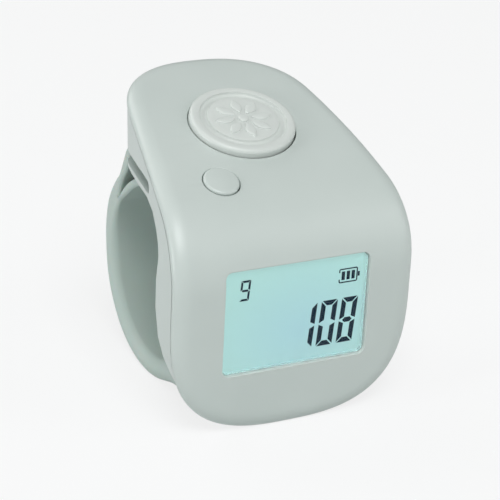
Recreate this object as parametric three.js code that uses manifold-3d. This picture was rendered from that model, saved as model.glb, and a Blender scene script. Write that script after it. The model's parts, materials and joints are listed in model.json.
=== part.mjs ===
// Finger tally counter. Millimetres, +Z up, the display faces -Y, the finger passes along X.
//
// The housing is a thin box bent over the knuckle: an upright display front, a tight bend, and a long
// top with two push buttons. It is split close to its skin into a front shell and a deep back shell.
// The back shell has a saddle over the finger and a thin roof plate with an open groove down each side.
// A soft band hooks on the roof plate, goes round the finger and ends in a bead inside the back shell.
//
// Housing shapes are worked out on the skin itself. A place on the skin is (x, run): x is the distance
// from the middle, run is the distance along the skin from the bottom end, up the front, round the bend
// and back along the top. A depth goes inwards from there.

import * as THREE from 'three';
import { mergeVertices } from 'three/addons/utils/BufferGeometryUtils.js';
import Module from 'manifold-3d';

const wasm = await Module();
wasm.setup();

const radians = THREE.MathUtils.degToRad;
const clamp = THREE.MathUtils.clamp;
const lerp = THREE.MathUtils.lerp;

// Skin seen from the side
const FRONT_RUN = 16.94; // upright part, from the bottom end to the bend
const BEND_RADIUS = 10.02;
const BEND_ANGLE = radians(64.05);
const CROWN_RADIUS = 115; // slow curve of the top
const SKIN_RUN = 51.88; // whole way along the skin

// Outline of the skin, laid out flat
const WIDTH = 29;
const LOW_END_RUN = 13.74; // length of the rounded bottom end
const LOW_END_POWER = 2.81; // 2 is an ellipse, more is squarer
const REAR_END_RUN = 8.3;
const REAR_END_POWER = 2.49;
const WAIST_START = 19.8; // the sides draw in from here
const WAIST_DRAW = 4.88; // by this much on each side at the end of the skin
const WAIST_POWER = 1.5;
const FOOT_FLAT = 6; // flat at the bottom end that the counter stands on
const REAR_FLAT = 4;

// Shells
const EDGE_RADIUS = 0.87; // rounding of the skin into the side walls
const FRONT_DEPTH = 1.15; // thickness of the front shell, down to the parting line
const PARTING_GAP = 0.25;
const WALL = 1.1;
const FLOOR = 0.9;
const DRAFT = Math.tan(radians(2.5));
const UPRIGHT_RUN = 6; // past the bend the side walls turn upright over this run
const LIP_WALL = 0.7;
const LIP_DEPTH = 1.2;
const LIP_GAP = 0.15;
const BACK_EDGE_RADIUS = 0.5;
const BACK_ROUND = 4; // how far in the back surface goes on rising from its edge
const BACK_DEPTH = 6.6; // behind the display
const SADDLE_RADIUS = 7; // hollow corner between the back and the roof over the finger
const BACK_LOW_ROUND = 9.5; // the back is drawn in towards the bottom end over this height

// How deep the visible back edge lies under the skin: [run, depth]
const BACK_EDGE = [
  [0, 1.5],
  [4.5, 1.7],
  [6.4, 2.7],
  [7.8, 3.9],
  [9.3, 4.9],
  [11.2, 5.7],
  [14, 6.2],
  [17, 6.25],
  [19.5, 5.95],
  [22, 5.4],
  [24.5, 5.1],
  [27, 4.9],
  [29.5, 4.8],
  [32, 4.85],
];

// Finger opening and band, round one centre
const RING_Y = 17.6;
const BORE_RADIUS = 10;
const BAND_THICKNESS = 2.4;
const BAND_WIDTH = 19.6;
const BAND_EDGE_RADIUS = 0.6;
const BAND_GAP = 0.25; // free space round the band where it hooks on
const LEG_THICKNESS = 1.05; // the band forks into two legs of this thickness
const BAND_LEAVES = radians(263); // where the lower run leaves the circle for the housing
const FORK_ANGLE = radians(37);
const HOOK_REACH = 2.7; // how far the hook lies forward over the roof plate
const NECK_WIDTH = 10;
const NECK_THICKNESS = 1.2;
const BEAD_RADIUS = 1.15;
const BEAD_Y = 2.65;
const BAND_START_Y = 5.4; // the full width of the band starts here, behind the housing
const REST_FLAT = 0.15; // the band's underside is flattened by this much where it rests

// Roof plate over the finger, and the grooves above it
const ROOF_THICKNESS = 1.15;
const ROOF_END_Y = 22.9;
const GROOVE_HEIGHT = 1.5;
const GROOVE_FRONT_Y = 11;
const GROOVE_INNER = 9.6; // the grooves reach in to this distance from the middle
const GROOVE_WALL = 0.8;
const HOOK_POCKET_Y = 19.7; // behind this the grooves join into one slot

// Display window and what lies behind it, given as distances from the front plane
const WINDOW_WIDTH = 17.5;
const WINDOW_HEIGHT = 12.05;
const WINDOW_Z = 13.06;
const WINDOW_CORNER = 0.8;
const LENS_GAP = 0.15;
const LENS_RECESS = 0.3;
const LENS_THICKNESS = 0.6;
const GASKET_THICKNESS = 0.15;
const GASKET_FRAME = 0.4; // its width along each edge of the lens
const LCD_WIDTH = 20;
const LCD_BOTTOM = 6;
const LCD_TOP = 20.2;
const LCD_POCKET_GAP = 0.2; // between the display and the pocket for it in the front shell
const LCD_GLASS = 0.55; // one of its two glass plates
const LCD_LEDGE = 1;
const LIGHT_GUIDE_THICKNESS = 1.1;
const LIGHT_GUIDE_WIDTH = 18.6;
const LIGHT_GUIDE_TOP = 19.25;
const STACK_GAP = 0.06;
const BOARD_THICKNESS = 0.6;
const BOARD_BOTTOM = 6.3;
const BOARD_TOP = 19;
const BOARD_WIDTH = 19.6;
const BOARD_FOOT_WIDTH = 12.8;
const BOARD_CUT_WIDTH = 18; // where the steep cut at the foot meets the slight one
const BOARD_CUT_Z = 8.6;
const BOARD_SIDE_Z = 11.3;
const BOARD_CORNER = 0.5;
const LED_LENGTH = 1.8;
const LED_WIDTH = 0.9;
const CONTACT_STRIP_WIDTH = 17;
const CONTACT_STRIP_HEIGHT = 1;
// On the rear of the display board: middle x and z, width, height, thickness
const CONTROLLER_CHIP = [6.4, 16.8, 3, 3, 0.5];
const CRYSTAL = [-5.6, 15.4, 3.2, 1.2, 0.5];
const CAPACITOR_UPPER = [8.8, 17.6, 1, 0.5, 0.4];
const CAPACITOR_LOWER = [8.8, 16.2, 1, 0.5, 0.4];

// Buttons. Each has a tilted frame whose origin is on the skin, and depths below it are negative.
const COUNT_RUN = 38.1;
const COUNT_RADIUS = 6.1;
const COUNT_HEIGHT = 0.75;
const RESET_X = -6.24;
const RESET_RUN = 29.8;
const RESET_RADIUS = 2;
const RESET_HEIGHT = 0.2;
const BUTTON_GAP = 0.17;
const BUTTON_EDGE_RADIUS = 0.45;
const FLANGE_WIDTH = 0.75;
const FLANGE_THICKNESS = 0.4;
const FLANGE_GAP = 0.2;
const POST_LENGTH = 0.2;
const PLUNGER_RADIUS = 0.75;
const PLUNGER_GAP = 0.05;
const PLUNGER_RISE = 0.35; // above the switch case
const SWITCH_HEIGHT = 0.45;
const SWITCH_WIDTH = 3;
const SWITCH_BORE_GAP = 0.08;
const SWITCH_FLOOR = 0.05;
const SWITCH_SEAT_GAP = 0.1; // each case sits a little askew on the key board, on its solder
const KEY_BOARD_THICKNESS = 0.4;
const KEY_BOARD_MARGIN = 6; // from the housing's side to the board
const KEY_BOARD_CORNER = 2;
const KEY_BOARD_FRONT = -9.5;
const KEY_BOARD_REAR = 4.6;

// Power
const CELL_RADIUS = 1.75;
const CELL_LENGTH = 12.6;
const CELL_X = 2.3;
const CELL_Y = 4.98;
const CELL_Z = 21.68;
const LEAD_RADIUS = 0.3;
const LEAD_PAD_Z = 18.4;
const LEAD_GAP = 0.05; // between the red lead and the cell's pin
const RED_PAD_SIDE = 1; // from the cell's end to the pad
const BLACK_LEAD_START = 0.2; // along the can from its end
const BLACK_LEAD_DROP = 1.1; // below the cell's middle
const BLACK_PAD_SIDE = 0.1;
const FLEX_THICKNESS = 0.15;
const FLEX_WIDTH = 3.8;
const FLEX_X = -7.6;
const SOCKET_WIDTH = 8.94;
const SOCKET_HEIGHT = 3.16;
const SOCKET_LENGTH = 5;
const SOCKET_WALL = 0.3;
const SOCKET_MOUTH_Y = 27.3;
const SOCKET_GAP = 0.15;
const CHARGE_BOARD_THICKNESS = 0.4;
const CHARGE_BOARD_WIDTH = 8.4;
const CHARGE_BOARD_Y = 21;
const CHARGE_BOARD_LENGTH = 4.2;
const CHARGE_FLEX_LAP = 0.5; // on each of the two boards it joins
const SOCKET_REAR_WALL = 0.8;
const TONGUE_RECESS = 0.9; // behind the socket's mouth
const TONGUE_WIDTH = 6.7;
const TONGUE_THICKNESS = 0.7;
const TONGUE_ROOT_WIDTH = 7.6;
const TONGUE_ROOT_HEIGHT = 1.8;
const TONGUE_ROOT_LENGTH = 1.2;

// Screws
const SCREW_RADIUS = 0.6;
const SCREW_HEAD_RADIUS = 1;
const SCREW_HEAD_HEIGHT = 0.6;
const SCREW_LENGTH = 3.2;
const SCREW_GAP = 0.12;
const BOSS_WALL = 0.4;
const LOW_SCREW_MARGIN = 3; // from the housing's side
const LOW_SCREW_Z = 11.5;
const LOW_SCREW_SEAT_Y = 4.9;
const REAR_SCREW_MARGIN = 8.6;
const REAR_SCREW_Y = 23.9;

// Places that follow from the sizes above
const RING_OUTER = BORE_RADIUS + BAND_THICKNESS;
const RING_Z = RING_OUTER - REST_FLAT; // the flat is level with the housing's foot
const DEPTH = RING_Y + RING_OUTER; // front plane to the rear of the band
const ROOF_Z = RING_Z + BORE_RADIUS + LEG_THICKNESS + BAND_GAP; // underside of the roof plate
const GROOVE_LOW = ROOF_Z + ROOF_THICKNESS - 0.2;
const GROOVE_HIGH = GROOVE_LOW + GROOVE_HEIGHT;
const REAR_FLOOR = GROOVE_HIGH + FLOOR; // inner floor above the grooves
const BEND_END = FRONT_RUN + BEND_RADIUS * BEND_ANGLE;
const REAR_END_START = SKIN_RUN - REAR_END_RUN;
const GASKET_Y = LENS_RECESS + LENS_THICKNESS + STACK_GAP;
const LCD_Y = Math.max(GASKET_Y + GASKET_THICKNESS, FRONT_DEPTH) + STACK_GAP;
const LIGHT_GUIDE_Y = LCD_Y + 2 * LCD_GLASS + STACK_GAP;
const BOARD_Y = LIGHT_GUIDE_Y + LIGHT_GUIDE_THICKNESS + STACK_GAP;
const FLANGE_TOP = -FRONT_DEPTH - FLANGE_GAP;
const POST_END = FLANGE_TOP - FLANGE_THICKNESS - POST_LENGTH;
const PLUNGER_TOP = POST_END - PLUNGER_GAP;
const SWITCH_TOP = PLUNGER_TOP - PLUNGER_RISE;
const KEY_BOARD_TOP = SWITCH_TOP - SWITCH_HEIGHT;
const CELL_END = CELL_X - CELL_LENGTH / 2; // the contact end
const KEY_BOARD_WIDTH = WIDTH - 2 * KEY_BOARD_MARGIN;
const LOW_SCREW_X = WIDTH / 2 - LOW_SCREW_MARGIN;
const REAR_SCREW_X = WIDTH / 2 - REAR_SCREW_MARGIN;
const CHARGE_BOARD_Z = REAR_FLOOR + STACK_GAP;
const SOCKET_Z = CHARGE_BOARD_Z + CHARGE_BOARD_THICKNESS + STACK_GAP;

// Finishes: colour, roughness, metalness
const finishes = {
  shell: [0xbec8c4, 0.46, 0],
  button: [0xccd4d0, 0.48, 0],
  band: [0xb0c1ba, 0.6, 0],
  lens: [0xd9ecea, 0.08, 0],
  lcd: [0xa8d5d6, 0.2, 0],
  light: [0xe9f4f2, 0.35, 0],
  led: [0xf3efcf, 0.4, 0],
  board: [0x2f6b4c, 0.55, 0],
  flex: [0xc98a3c, 0.5, 0],
  rubber: [0x4a4d4e, 0.8, 0],
  chip: [0x222427, 0.5, 0],
  ceramic: [0xb89d78, 0.6, 0],
  steel: [0xc4c7ca, 0.32, 0.9],
  red: [0xb3322b, 0.5, 0],
  black: [0x1f1f21, 0.5, 0],
};

const materials = Object.fromEntries(
  Object.entries(finishes).map(([name, [color, roughness, metalness]]) => [
    name,
    new THREE.MeshStandardMaterial({ color, roughness, metalness }),
  ]),
);

// Boolean work

function toSolid(geometry) {
  const bare = new THREE.BufferGeometry();
  bare.setAttribute('position', geometry.getAttribute('position'));
  bare.setIndex(geometry.getIndex());
  const merged = mergeVertices(bare, 1e-4);
  return new wasm.Manifold(
    new wasm.Mesh({
      numProp: 3,
      vertProperties: new Float32Array(merged.getAttribute('position').array),
      triVerts: new Uint32Array(merged.getIndex().array),
    }),
  );
}

function toGeometry(solid) {
  const mesh = solid.getMesh();
  const geometry = new THREE.BufferGeometry();
  geometry.setAttribute('position', new THREE.BufferAttribute(mesh.vertProperties, 3));
  geometry.setIndex(new THREE.BufferAttribute(mesh.triVerts, 1));
  return geometry;
}

// Adds the first list of shapes together and takes the second list away.
function shape(added, cut = []) {
  let solid = toSolid(added[0]);
  for (const geometry of added.slice(1)) solid = solid.add(toSolid(geometry));
  for (const geometry of cut) solid = solid.subtract(toSolid(geometry));
  return toGeometry(solid);
}

// Simple shapes

function block([x0, x1], [y0, y1], [z0, z1]) {
  const box = new THREE.BoxGeometry(x1 - x0, y1 - y0, z1 - z0);
  return box.translate((x0 + x1) / 2, (y0 + y1) / 2, (z0 + z1) / 2);
}

// A round bar along +Z from z0 to z1.
function post(radius, z0, z1, sides = 20) {
  const bar = new THREE.CylinderGeometry(radius, radius, z1 - z0, sides).rotateX(Math.PI / 2);
  return bar.translate(0, 0, (z0 + z1) / 2);
}

// A turned piece about +Z from [radius, height] pairs that start and end on the axis.
function turned(profile, sides) {
  const points = profile.map(([r, h]) => new THREE.Vector2(r, h));
  return new THREE.LatheGeometry(points, sides).rotateX(Math.PI / 2);
}

// A side view, drawn as (y, z), made width wide about the middle plane.
function sideCut(outline, width) {
  const flat = new THREE.ExtrudeGeometry(outline, {
    depth: width,
    curveSegments: 10,
    bevelEnabled: false,
  });
  flat.translate(0, 0, -width / 2);
  return flat.applyMatrix4(new THREE.Matrix4().set(0, 0, 1, 0, 1, 0, 0, 0, 0, 1, 0, 0, 0, 0, 0, 1));
}

// A front view, drawn as (x, z), made thick from y0 backwards.
function frontCut(outline, y0, thickness) {
  const flat = new THREE.ExtrudeGeometry(outline, {
    depth: thickness,
    curveSegments: 5,
    bevelEnabled: false,
  });
  return flat.rotateX(Math.PI / 2).translate(0, y0 + thickness, 0);
}

function polygon(points) {
  return new THREE.Shape(points.map(([a, b]) => new THREE.Vector2(a, b)));
}

function roundedRectangle(width, height, corner, centreZ) {
  const x = width / 2;
  const low = centreZ - height / 2;
  const high = centreZ + height / 2;
  const outline = new THREE.Shape();
  outline.moveTo(-x + corner, low);
  outline.lineTo(x - corner, low);
  outline.absarc(x - corner, low + corner, corner, -Math.PI / 2, 0);
  outline.absarc(x - corner, high - corner, corner, 0, Math.PI / 2);
  outline.absarc(-x + corner, high - corner, corner, Math.PI / 2, Math.PI);
  outline.absarc(-x + corner, low + corner, corner, Math.PI, Math.PI * 1.5);
  return outline;
}

// Housing skin

// Side view of the skin at a run: its place and its slope from level.
function skinAt(run) {
  if (run <= FRONT_RUN) return { y: 0, z: run };
  const turn = Math.min((run - FRONT_RUN) / BEND_RADIUS, BEND_ANGLE);
  const bent = {
    y: BEND_RADIUS * (1 - Math.cos(turn)),
    z: FRONT_RUN + BEND_RADIUS * Math.sin(turn),
  };
  if (run <= BEND_END) return bent;
  const crownTurn = (run - BEND_END) / CROWN_RADIUS;
  const start = BEND_ANGLE;
  return {
    y: bent.y + CROWN_RADIUS * (Math.cos(start) - Math.cos(start + crownTurn)),
    z: bent.z + CROWN_RADIUS * (Math.sin(start + crownTurn) - Math.sin(start)),
  };
}

// Direction in which the walls go in from the skin: back behind the front, straight down under the top.
function inwardAt(run) {
  const bendTurn = clamp((run - FRONT_RUN) / BEND_RADIUS, 0, BEND_ANGLE);
  const upright = THREE.MathUtils.smoothstep(run, BEND_END - 1, BEND_END + UPRIGHT_RUN);
  const turn = bendTurn + upright * (Math.PI / 2 - BEND_ANGLE);
  return { y: Math.cos(turn), z: -Math.sin(turn) };
}

// The right half of the outline, from the bottom end to the rear end, as {x, run}.
function makeOutline() {
  const half = WIDTH / 2;
  const levels = [];
  const lowStart = Math.asin((FOOT_FLAT / WIDTH) ** (LOW_END_POWER / 2));
  const lowSteps = 12;
  for (let i = 0; i <= lowSteps; i++) {
    const turn = lerp(lowStart, Math.PI / 2, i / lowSteps);
    const rise = LOW_END_RUN * (1 - Math.cos(turn) ** (2 / LOW_END_POWER));
    levels.push({ x: half * Math.sin(turn) ** (2 / LOW_END_POWER), run: i === 0 ? 0 : rise });
  }
  const sideX = (run) => {
    const share = clamp((run - WAIST_START) / (SKIN_RUN - WAIST_START), 0, 1);
    return half - WAIST_DRAW * share ** WAIST_POWER;
  };
  const bendSteps = 8;
  const crownSteps = 4;
  for (let i = 0; i <= bendSteps; i++) {
    const run = lerp(FRONT_RUN, BEND_END, i / bendSteps);
    levels.push({ x: sideX(run), run });
  }
  for (let i = 1; i < crownSteps; i++) {
    const run = lerp(BEND_END, REAR_END_START, i / crownSteps);
    levels.push({ x: sideX(run), run });
  }
  const rearStop = Math.acos((REAR_FLAT / 2 / sideX(SKIN_RUN)) ** (REAR_END_POWER / 2));
  const rearSteps = 11;
  for (let i = 0; i <= rearSteps; i++) {
    const turn = lerp(0, rearStop, i / rearSteps);
    const run = REAR_END_START + REAR_END_RUN * Math.sin(turn) ** (2 / REAR_END_POWER);
    levels.push({ x: sideX(run) * Math.cos(turn) ** (2 / REAR_END_POWER), run });
  }
  return levels;
}

const outline = makeOutline();

// For each outline point, the step that moves its two edges in by one unit.
const insets = outline.map((point, i) => {
  const edgeNormal = (a, b) => {
    const length = Math.hypot(b.x - a.x, b.run - a.run);
    return { x: (b.run - a.run) / length, run: -(b.x - a.x) / length };
  };
  const before = i === 0 ? { x: 0, run: -1 } : edgeNormal(outline[i - 1], point);
  const after = i === outline.length - 1 ? { x: 0, run: 1 } : edgeNormal(point, outline[i + 1]);
  const share = 1 + before.x * after.x + before.run * after.run;
  return { x: (before.x + after.x) / share, run: (before.run + after.run) / share };
});

// One closed loop round the housing: the outline moved in, then sunk to a depth that may change along it.
// The taper moves it in further, except at the foot, which stays level.
function ringAt(inset, depthAt, taper = 0) {
  const right = outline.map(({ x, run }, i) => {
    const runTaper = i === 0 ? 0 : taper;
    const movedRun = run - (inset + runTaper) * insets[i].run;
    const depth = depthAt(movedRun);
    const start = skinAt(movedRun);
    const inward = inwardAt(movedRun);
    const movedX = x - (inset + taper) * insets[i].x;
    return [movedX, start.y + inward.y * depth, start.z + inward.z * depth];
  });
  const left = right.map(([x, y, z]) => [-x, y, z]).reverse();
  return [...right, ...left];
}

// A closed solid through a row of loops, outermost first, with flat strips across both ends.
function loft(rings) {
  const count = rings[0].length;
  const index = [];
  for (let k = 0; k + 1 < rings.length; k++) {
    for (let j = 0; j < count; j++) {
      const next = (j + 1) % count;
      const a = k * count + j;
      const b = k * count + next;
      const c = (k + 1) * count + next;
      const d = (k + 1) * count + j;
      index.push(a, d, c, a, c, b);
    }
  }
  const last = (rings.length - 1) * count;
  for (let i = 0; i + 1 < count / 2; i++) {
    const mirror = count - 1 - i;
    index.push(i, i + 1, mirror - 1, i, mirror - 1, mirror);
    index.push(last + i, last + mirror - 1, last + i + 1, last + i, last + mirror, last + mirror - 1);
  }
  const geometry = new THREE.BufferGeometry();
  geometry.setAttribute('position', new THREE.Float32BufferAttribute(rings.flat(2), 3));
  geometry.setIndex(index);
  return geometry;
}

// Depth of the visible back edge under the skin.
function edgeDepth(run) {
  const last = BACK_EDGE[BACK_EDGE.length - 1];
  const start = skinAt(run);
  const toRoof = (start.z - ROOF_Z) / -inwardAt(run).z;
  if (run >= last[0]) return toRoof;
  const i = BACK_EDGE.findIndex(([r]) => r > run);
  if (i <= 0) return BACK_EDGE[0][1];
  const [[r0, d0], [r1, d1]] = [BACK_EDGE[i - 1], BACK_EDGE[i]];
  return lerp(d0, d1, (run - r0) / (r1 - r0));
}

// Depth of the middle of the back: drawn in at the bottom, level behind the display, round the saddle
// corner and along the roof.
function coreDepth(run) {
  const short = Math.max(0, 1 - run / BACK_LOW_ROUND);
  if (short > 0) return BACK_DEPTH * Math.sqrt(Math.max(0.05, 1 - short * short));
  const start = skinAt(run);
  const inward = inwardAt(run);
  const toBack = inward.y > 0.01 ? (BACK_DEPTH - start.y) / inward.y : 0;
  const toRoof = inward.z < -0.01 ? (start.z - ROOF_Z) / -inward.z : 0;
  const straight = Math.max(toBack, toRoof);
  const y = start.y - BACK_DEPTH - SADDLE_RADIUS;
  const z = start.z - ROOF_Z + SADDLE_RADIUS;
  const inCorner = y + inward.y * straight < 0 && z + inward.z * straight > 0;
  if (!inCorner) return straight;
  const along = y * inward.y + z * inward.z;
  return -along - Math.sqrt(along * along - (y * y + z * z - SADDLE_RADIUS * SADDLE_RADIUS));
}

// Loops down the back shell's outside, or down its hollow when margin is the wall and thinner the floor.
function backRings(startDepth, margin, thinner) {
  const edge = (run) => Math.max(startDepth + 0.2, edgeDepth(run) - thinner);
  const core = (run) => Math.max(startDepth + 0.25, coreDepth(run) - thinner);
  const between = (run) => Math.max(edge(run), lerp(edge(run), core(run), 0.62));
  const deepest = DRAFT * BACK_DEPTH;
  return [
    ringAt(margin, () => startDepth, DRAFT * startDepth),
    ringAt(margin, (run) => Math.max(startDepth + 0.1, edge(run) - BACK_EDGE_RADIUS), deepest),
    ringAt(margin + 0.3 * BACK_EDGE_RADIUS, (run) => edge(run) - 0.29 * BACK_EDGE_RADIUS, deepest),
    ringAt(margin + BACK_EDGE_RADIUS, edge, deepest),
    ringAt(margin + BACK_ROUND / 2, between, deepest),
    ringAt(margin + BACK_ROUND, (run) => Math.max(edge(run), core(run)), deepest),
  ];
}

// Tilted frames

// A frame on the skin: its own +Z stands out of the skin and its +Y runs back along it.
function skinFrame(x, run) {
  const frame = new THREE.Group();
  const start = skinAt(run);
  frame.position.set(x, start.y, start.z);
  frame.rotation.x = Math.PI / 2 - BEND_ANGLE - (run - BEND_END) / CROWN_RADIUS;
  frame.updateMatrix();
  return frame;
}

const countFrame = skinFrame(0, COUNT_RUN);
const resetFrame = skinFrame(RESET_X, RESET_RUN);

// The key board's top runs through the feet of both switches.
const boardFrame = new THREE.Group();
const switchFoot = (frame) => new THREE.Vector3(0, 0, KEY_BOARD_TOP).applyMatrix4(frame.matrix);
const countFoot = switchFoot(countFrame);
const footStep = countFoot.clone().sub(switchFoot(resetFrame));
boardFrame.position.set(0, countFoot.y, countFoot.z);
boardFrame.rotation.x = Math.atan2(footStep.z, footStep.y);
boardFrame.updateMatrix();

// Shells

// Solid beside and behind the grooves that the hollow leaves standing, grown by a gap for the front lip.
function grooveWalls(gap) {
  const side = GROOVE_INNER - GROOVE_WALL - gap;
  const front = GROOVE_FRONT_Y - GROOVE_WALL - gap;
  const rear = HOOK_POCKET_Y - GROOVE_WALL - gap;
  const height = [0, REAR_FLOOR + gap];
  return [
    block([side, WIDTH], [front, DEPTH * 2], height),
    block([-WIDTH, -side], [front, DEPTH * 2], height),
    block([-WIDTH, WIDTH], [rear, DEPTH * 2], height),
  ];
}

function lowScrewBosses(radius, y0, y1) {
  return [-1, 1].map((side) => {
    const bar = post(radius, -y1, -y0).rotateX(Math.PI / 2);
    return bar.translate(side * LOW_SCREW_X, 0, LOW_SCREW_Z);
  });
}

function rearScrewBosses(radius, z0, z1) {
  return [-1, 1].map((side) => post(radius, z0, z1).translate(side * REAR_SCREW_X, REAR_SCREW_Y, 0));
}

function frontShell() {
  const edgeSteps = 4;
  const rings = [];
  for (let i = 0; i <= edgeSteps; i++) {
    const turn = (i / edgeSteps) * (Math.PI / 2);
    rings.push(ringAt(EDGE_RADIUS * (1 - Math.sin(turn)), () => EDGE_RADIUS * (1 - Math.cos(turn))));
  }
  rings.push(ringAt(0, () => FRONT_DEPTH, DRAFT * FRONT_DEPTH));
  const lipStart = FRONT_DEPTH - 0.3;
  const lipEnd = FRONT_DEPTH + LIP_DEPTH;
  const lipOuter = WALL + LIP_GAP + 0.2;
  const lipLoop = (inset, depth) =>
    ringAt(inset, (run) => Math.min(depth, Math.max(lipStart + 0.1, edgeDepth(run) - FLOOR - 0.2)));
  const lip = shape(
    [loft([ringAt(lipOuter, () => lipStart), lipLoop(lipOuter + 0.05, lipEnd)])],
    [
      loft([ringAt(lipOuter + LIP_WALL, () => lipStart - 0.1), lipLoop(lipOuter + LIP_WALL, lipEnd + 0.2)]),
      ...grooveWalls(LIP_GAP),
      beadPocket(),
    ],
  );
  const bossRadius = SCREW_RADIUS + SCREW_GAP + BOSS_WALL;
  const skinOverScrew = skinAt(SKIN_RUN - 4).z;
  const pocketX = LCD_WIDTH / 2 + LCD_POCKET_GAP;
  const displayPocket = block(
    [-pocketX, pocketX],
    [FRONT_DEPTH, FRONT_DEPTH + 2],
    [LCD_BOTTOM - LCD_POCKET_GAP, LCD_TOP + LCD_POCKET_GAP],
  );
  const countHole = post(COUNT_RADIUS + BUTTON_GAP, -6, 4, 48).applyMatrix4(countFrame.matrix);
  const resetHole = post(RESET_RADIUS + BUTTON_GAP, -6, 4, 28).applyMatrix4(resetFrame.matrix);
  return shape(
    [
      loft(rings),
      lip,
      ...lowScrewBosses(bossRadius, FRONT_DEPTH - 0.4, LOW_SCREW_SEAT_Y - 0.95),
      ...rearScrewBosses(bossRadius, REAR_FLOOR + 1.2, skinOverScrew - 0.9),
    ],
    [
      frontCut(windowOutline(0), -1, 4),
      displayPocket,
      countHole,
      resetHole,
      ...lowScrewBosses(SCREW_RADIUS + SCREW_GAP, FRONT_DEPTH + 0.5, LOW_SCREW_SEAT_Y),
      ...rearScrewBosses(SCREW_RADIUS + SCREW_GAP, REAR_FLOOR, skinOverScrew - 1.9),
    ],
  );
}

function grooveOutline() {
  const radius = GROOVE_HEIGHT / 2;
  const outlineShape = new THREE.Shape();
  outlineShape.moveTo(DEPTH + 5, GROOVE_LOW);
  outlineShape.lineTo(DEPTH + 5, GROOVE_HIGH);
  outlineShape.lineTo(GROOVE_FRONT_Y + radius, GROOVE_HIGH);
  outlineShape.absarc(GROOVE_FRONT_Y + radius, GROOVE_LOW + radius, radius, Math.PI / 2, Math.PI * 1.5);
  return outlineShape;
}

function backShell() {
  const outer = loft(backRings(FRONT_DEPTH + PARTING_GAP, 0, 0));
  const far = WIDTH;
  const hollow = shape([loft(backRings(FRONT_DEPTH - 0.2, WALL, FLOOR))], grooveWalls(0));
  const groove = sideCut(grooveOutline(), far);
  const grooveSide = (side) => groove.clone().translate(side * (GROOVE_INNER + far / 2), 0, 0);
  const seatRadius = SCREW_HEAD_RADIUS + SCREW_GAP;
  const holeRadius = SCREW_RADIUS + SCREW_GAP;
  const [neckSlot] = neckSolids(BAND_GAP);
  const mouth = roundedRectangle(
    SOCKET_WIDTH + 2 * SOCKET_GAP,
    SOCKET_HEIGHT + 2 * SOCKET_GAP,
    SOCKET_HEIGHT / 2,
    SOCKET_Z + SOCKET_HEIGHT / 2,
  );
  const shellBody = shape([outer], [hollow]);
  return shape(
    [
      shellBody,
      ...lowScrewBosses(seatRadius + 0.5, LOW_SCREW_SEAT_Y - 0.8, LOW_SCREW_SEAT_Y + 0.7),
      ...rearScrewBosses(seatRadius + 0.4, GROOVE_HIGH + 0.4, REAR_FLOOR + 0.9),
    ],
    [
      grooveSide(1),
      grooveSide(-1),
      block([-far, far], [HOOK_POCKET_Y, far * 2], [GROOVE_LOW, GROOVE_HIGH]),
      block([-far, far], [ROOF_END_Y, far * 2], [0, GROOVE_HIGH]),
      ...lowScrewBosses(holeRadius, 0, far),
      ...lowScrewBosses(seatRadius, LOW_SCREW_SEAT_Y, far),
      ...rearScrewBosses(holeRadius, GROOVE_HIGH - 1, REAR_FLOOR + 1.5),
      ...rearScrewBosses(seatRadius, GROOVE_HIGH - 1, GROOVE_HIGH + SCREW_HEAD_HEIGHT),
      frontCut(mouth, SOCKET_MOUTH_Y - 2, 5),
      neckSlot,
      beadPocket(),
    ],
  );
}

// Finger band

function ringPoint(radius, angle) {
  return [RING_Y + radius * Math.cos(angle), RING_Z + radius * Math.sin(angle)];
}

function ringArc(radius, start, stop, steps) {
  return Array.from({ length: steps + 1 }, (_, i) => ringPoint(radius, lerp(start, stop, i / steps)));
}

// A flat strap that follows a path drawn as (y, z), with rounded long edges.
function strap(path, thickness, width, corner, cornerSteps = 3) {
  const half = [];
  for (const side of [-1, 1]) {
    for (let i = 0; i <= cornerSteps; i++) {
      const turn = (i / cornerSteps) * (Math.PI / 2);
      const [c, s] = side < 0 ? [Math.sin(turn), Math.cos(turn)] : [Math.cos(turn), Math.sin(turn)];
      half.push([width / 2 - corner + corner * c, side * (thickness / 2 - corner + corner * s)]);
    }
  }
  const loop = [...half, ...half.map(([x, n]) => [-x, n]).reverse()];
  const rings = path.map(([y, z], i) => {
    const before = path[Math.max(i - 1, 0)];
    const after = path[Math.min(i + 1, path.length - 1)];
    const length = Math.hypot(after[0] - before[0], after[1] - before[1]);
    const normal = [-(after[1] - before[1]) / length, (after[0] - before[0]) / length];
    return loop.map(([x, n]) => [x, y + n * normal[0], z + n * normal[1]]);
  });
  return loft(rings);
}

// The lower run is straight from the circle to the bead: a place on its middle line at a given y.
function lowerRun(y) {
  const [startY, startZ] = ringPoint(BORE_RADIUS + BAND_THICKNESS / 2, BAND_LEAVES);
  return [y, startZ + (startY - y) * Math.tan(Math.PI * 1.5 - BAND_LEAVES)];
}

// Neck and bead, grown by a gap when they cut their own slot.
function neckSolids(gap) {
  const [beadY, beadZ] = lowerRun(BEAD_Y);
  const neckEnd = lowerRun(BAND_START_Y + 0.6);
  const round = new THREE.Shape().absarc(beadY, beadZ, BEAD_RADIUS, 0, Math.PI * 2);
  return [
    strap([[beadY, beadZ], neckEnd], NECK_THICKNESS + 2 * gap, NECK_WIDTH + 2 * gap, 0.3),
    sideCut(round, NECK_WIDTH),
  ];
}

// Room for the bead, cut into the lip and the bottom wall.
function beadPocket() {
  const [beadY, beadZ] = lowerRun(BEAD_Y);
  const round = new THREE.Shape().absarc(beadY, beadZ, BEAD_RADIUS + BAND_GAP, 0, Math.PI * 2);
  return sideCut(round, NECK_WIDTH + 2 * BAND_GAP);
}

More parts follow.
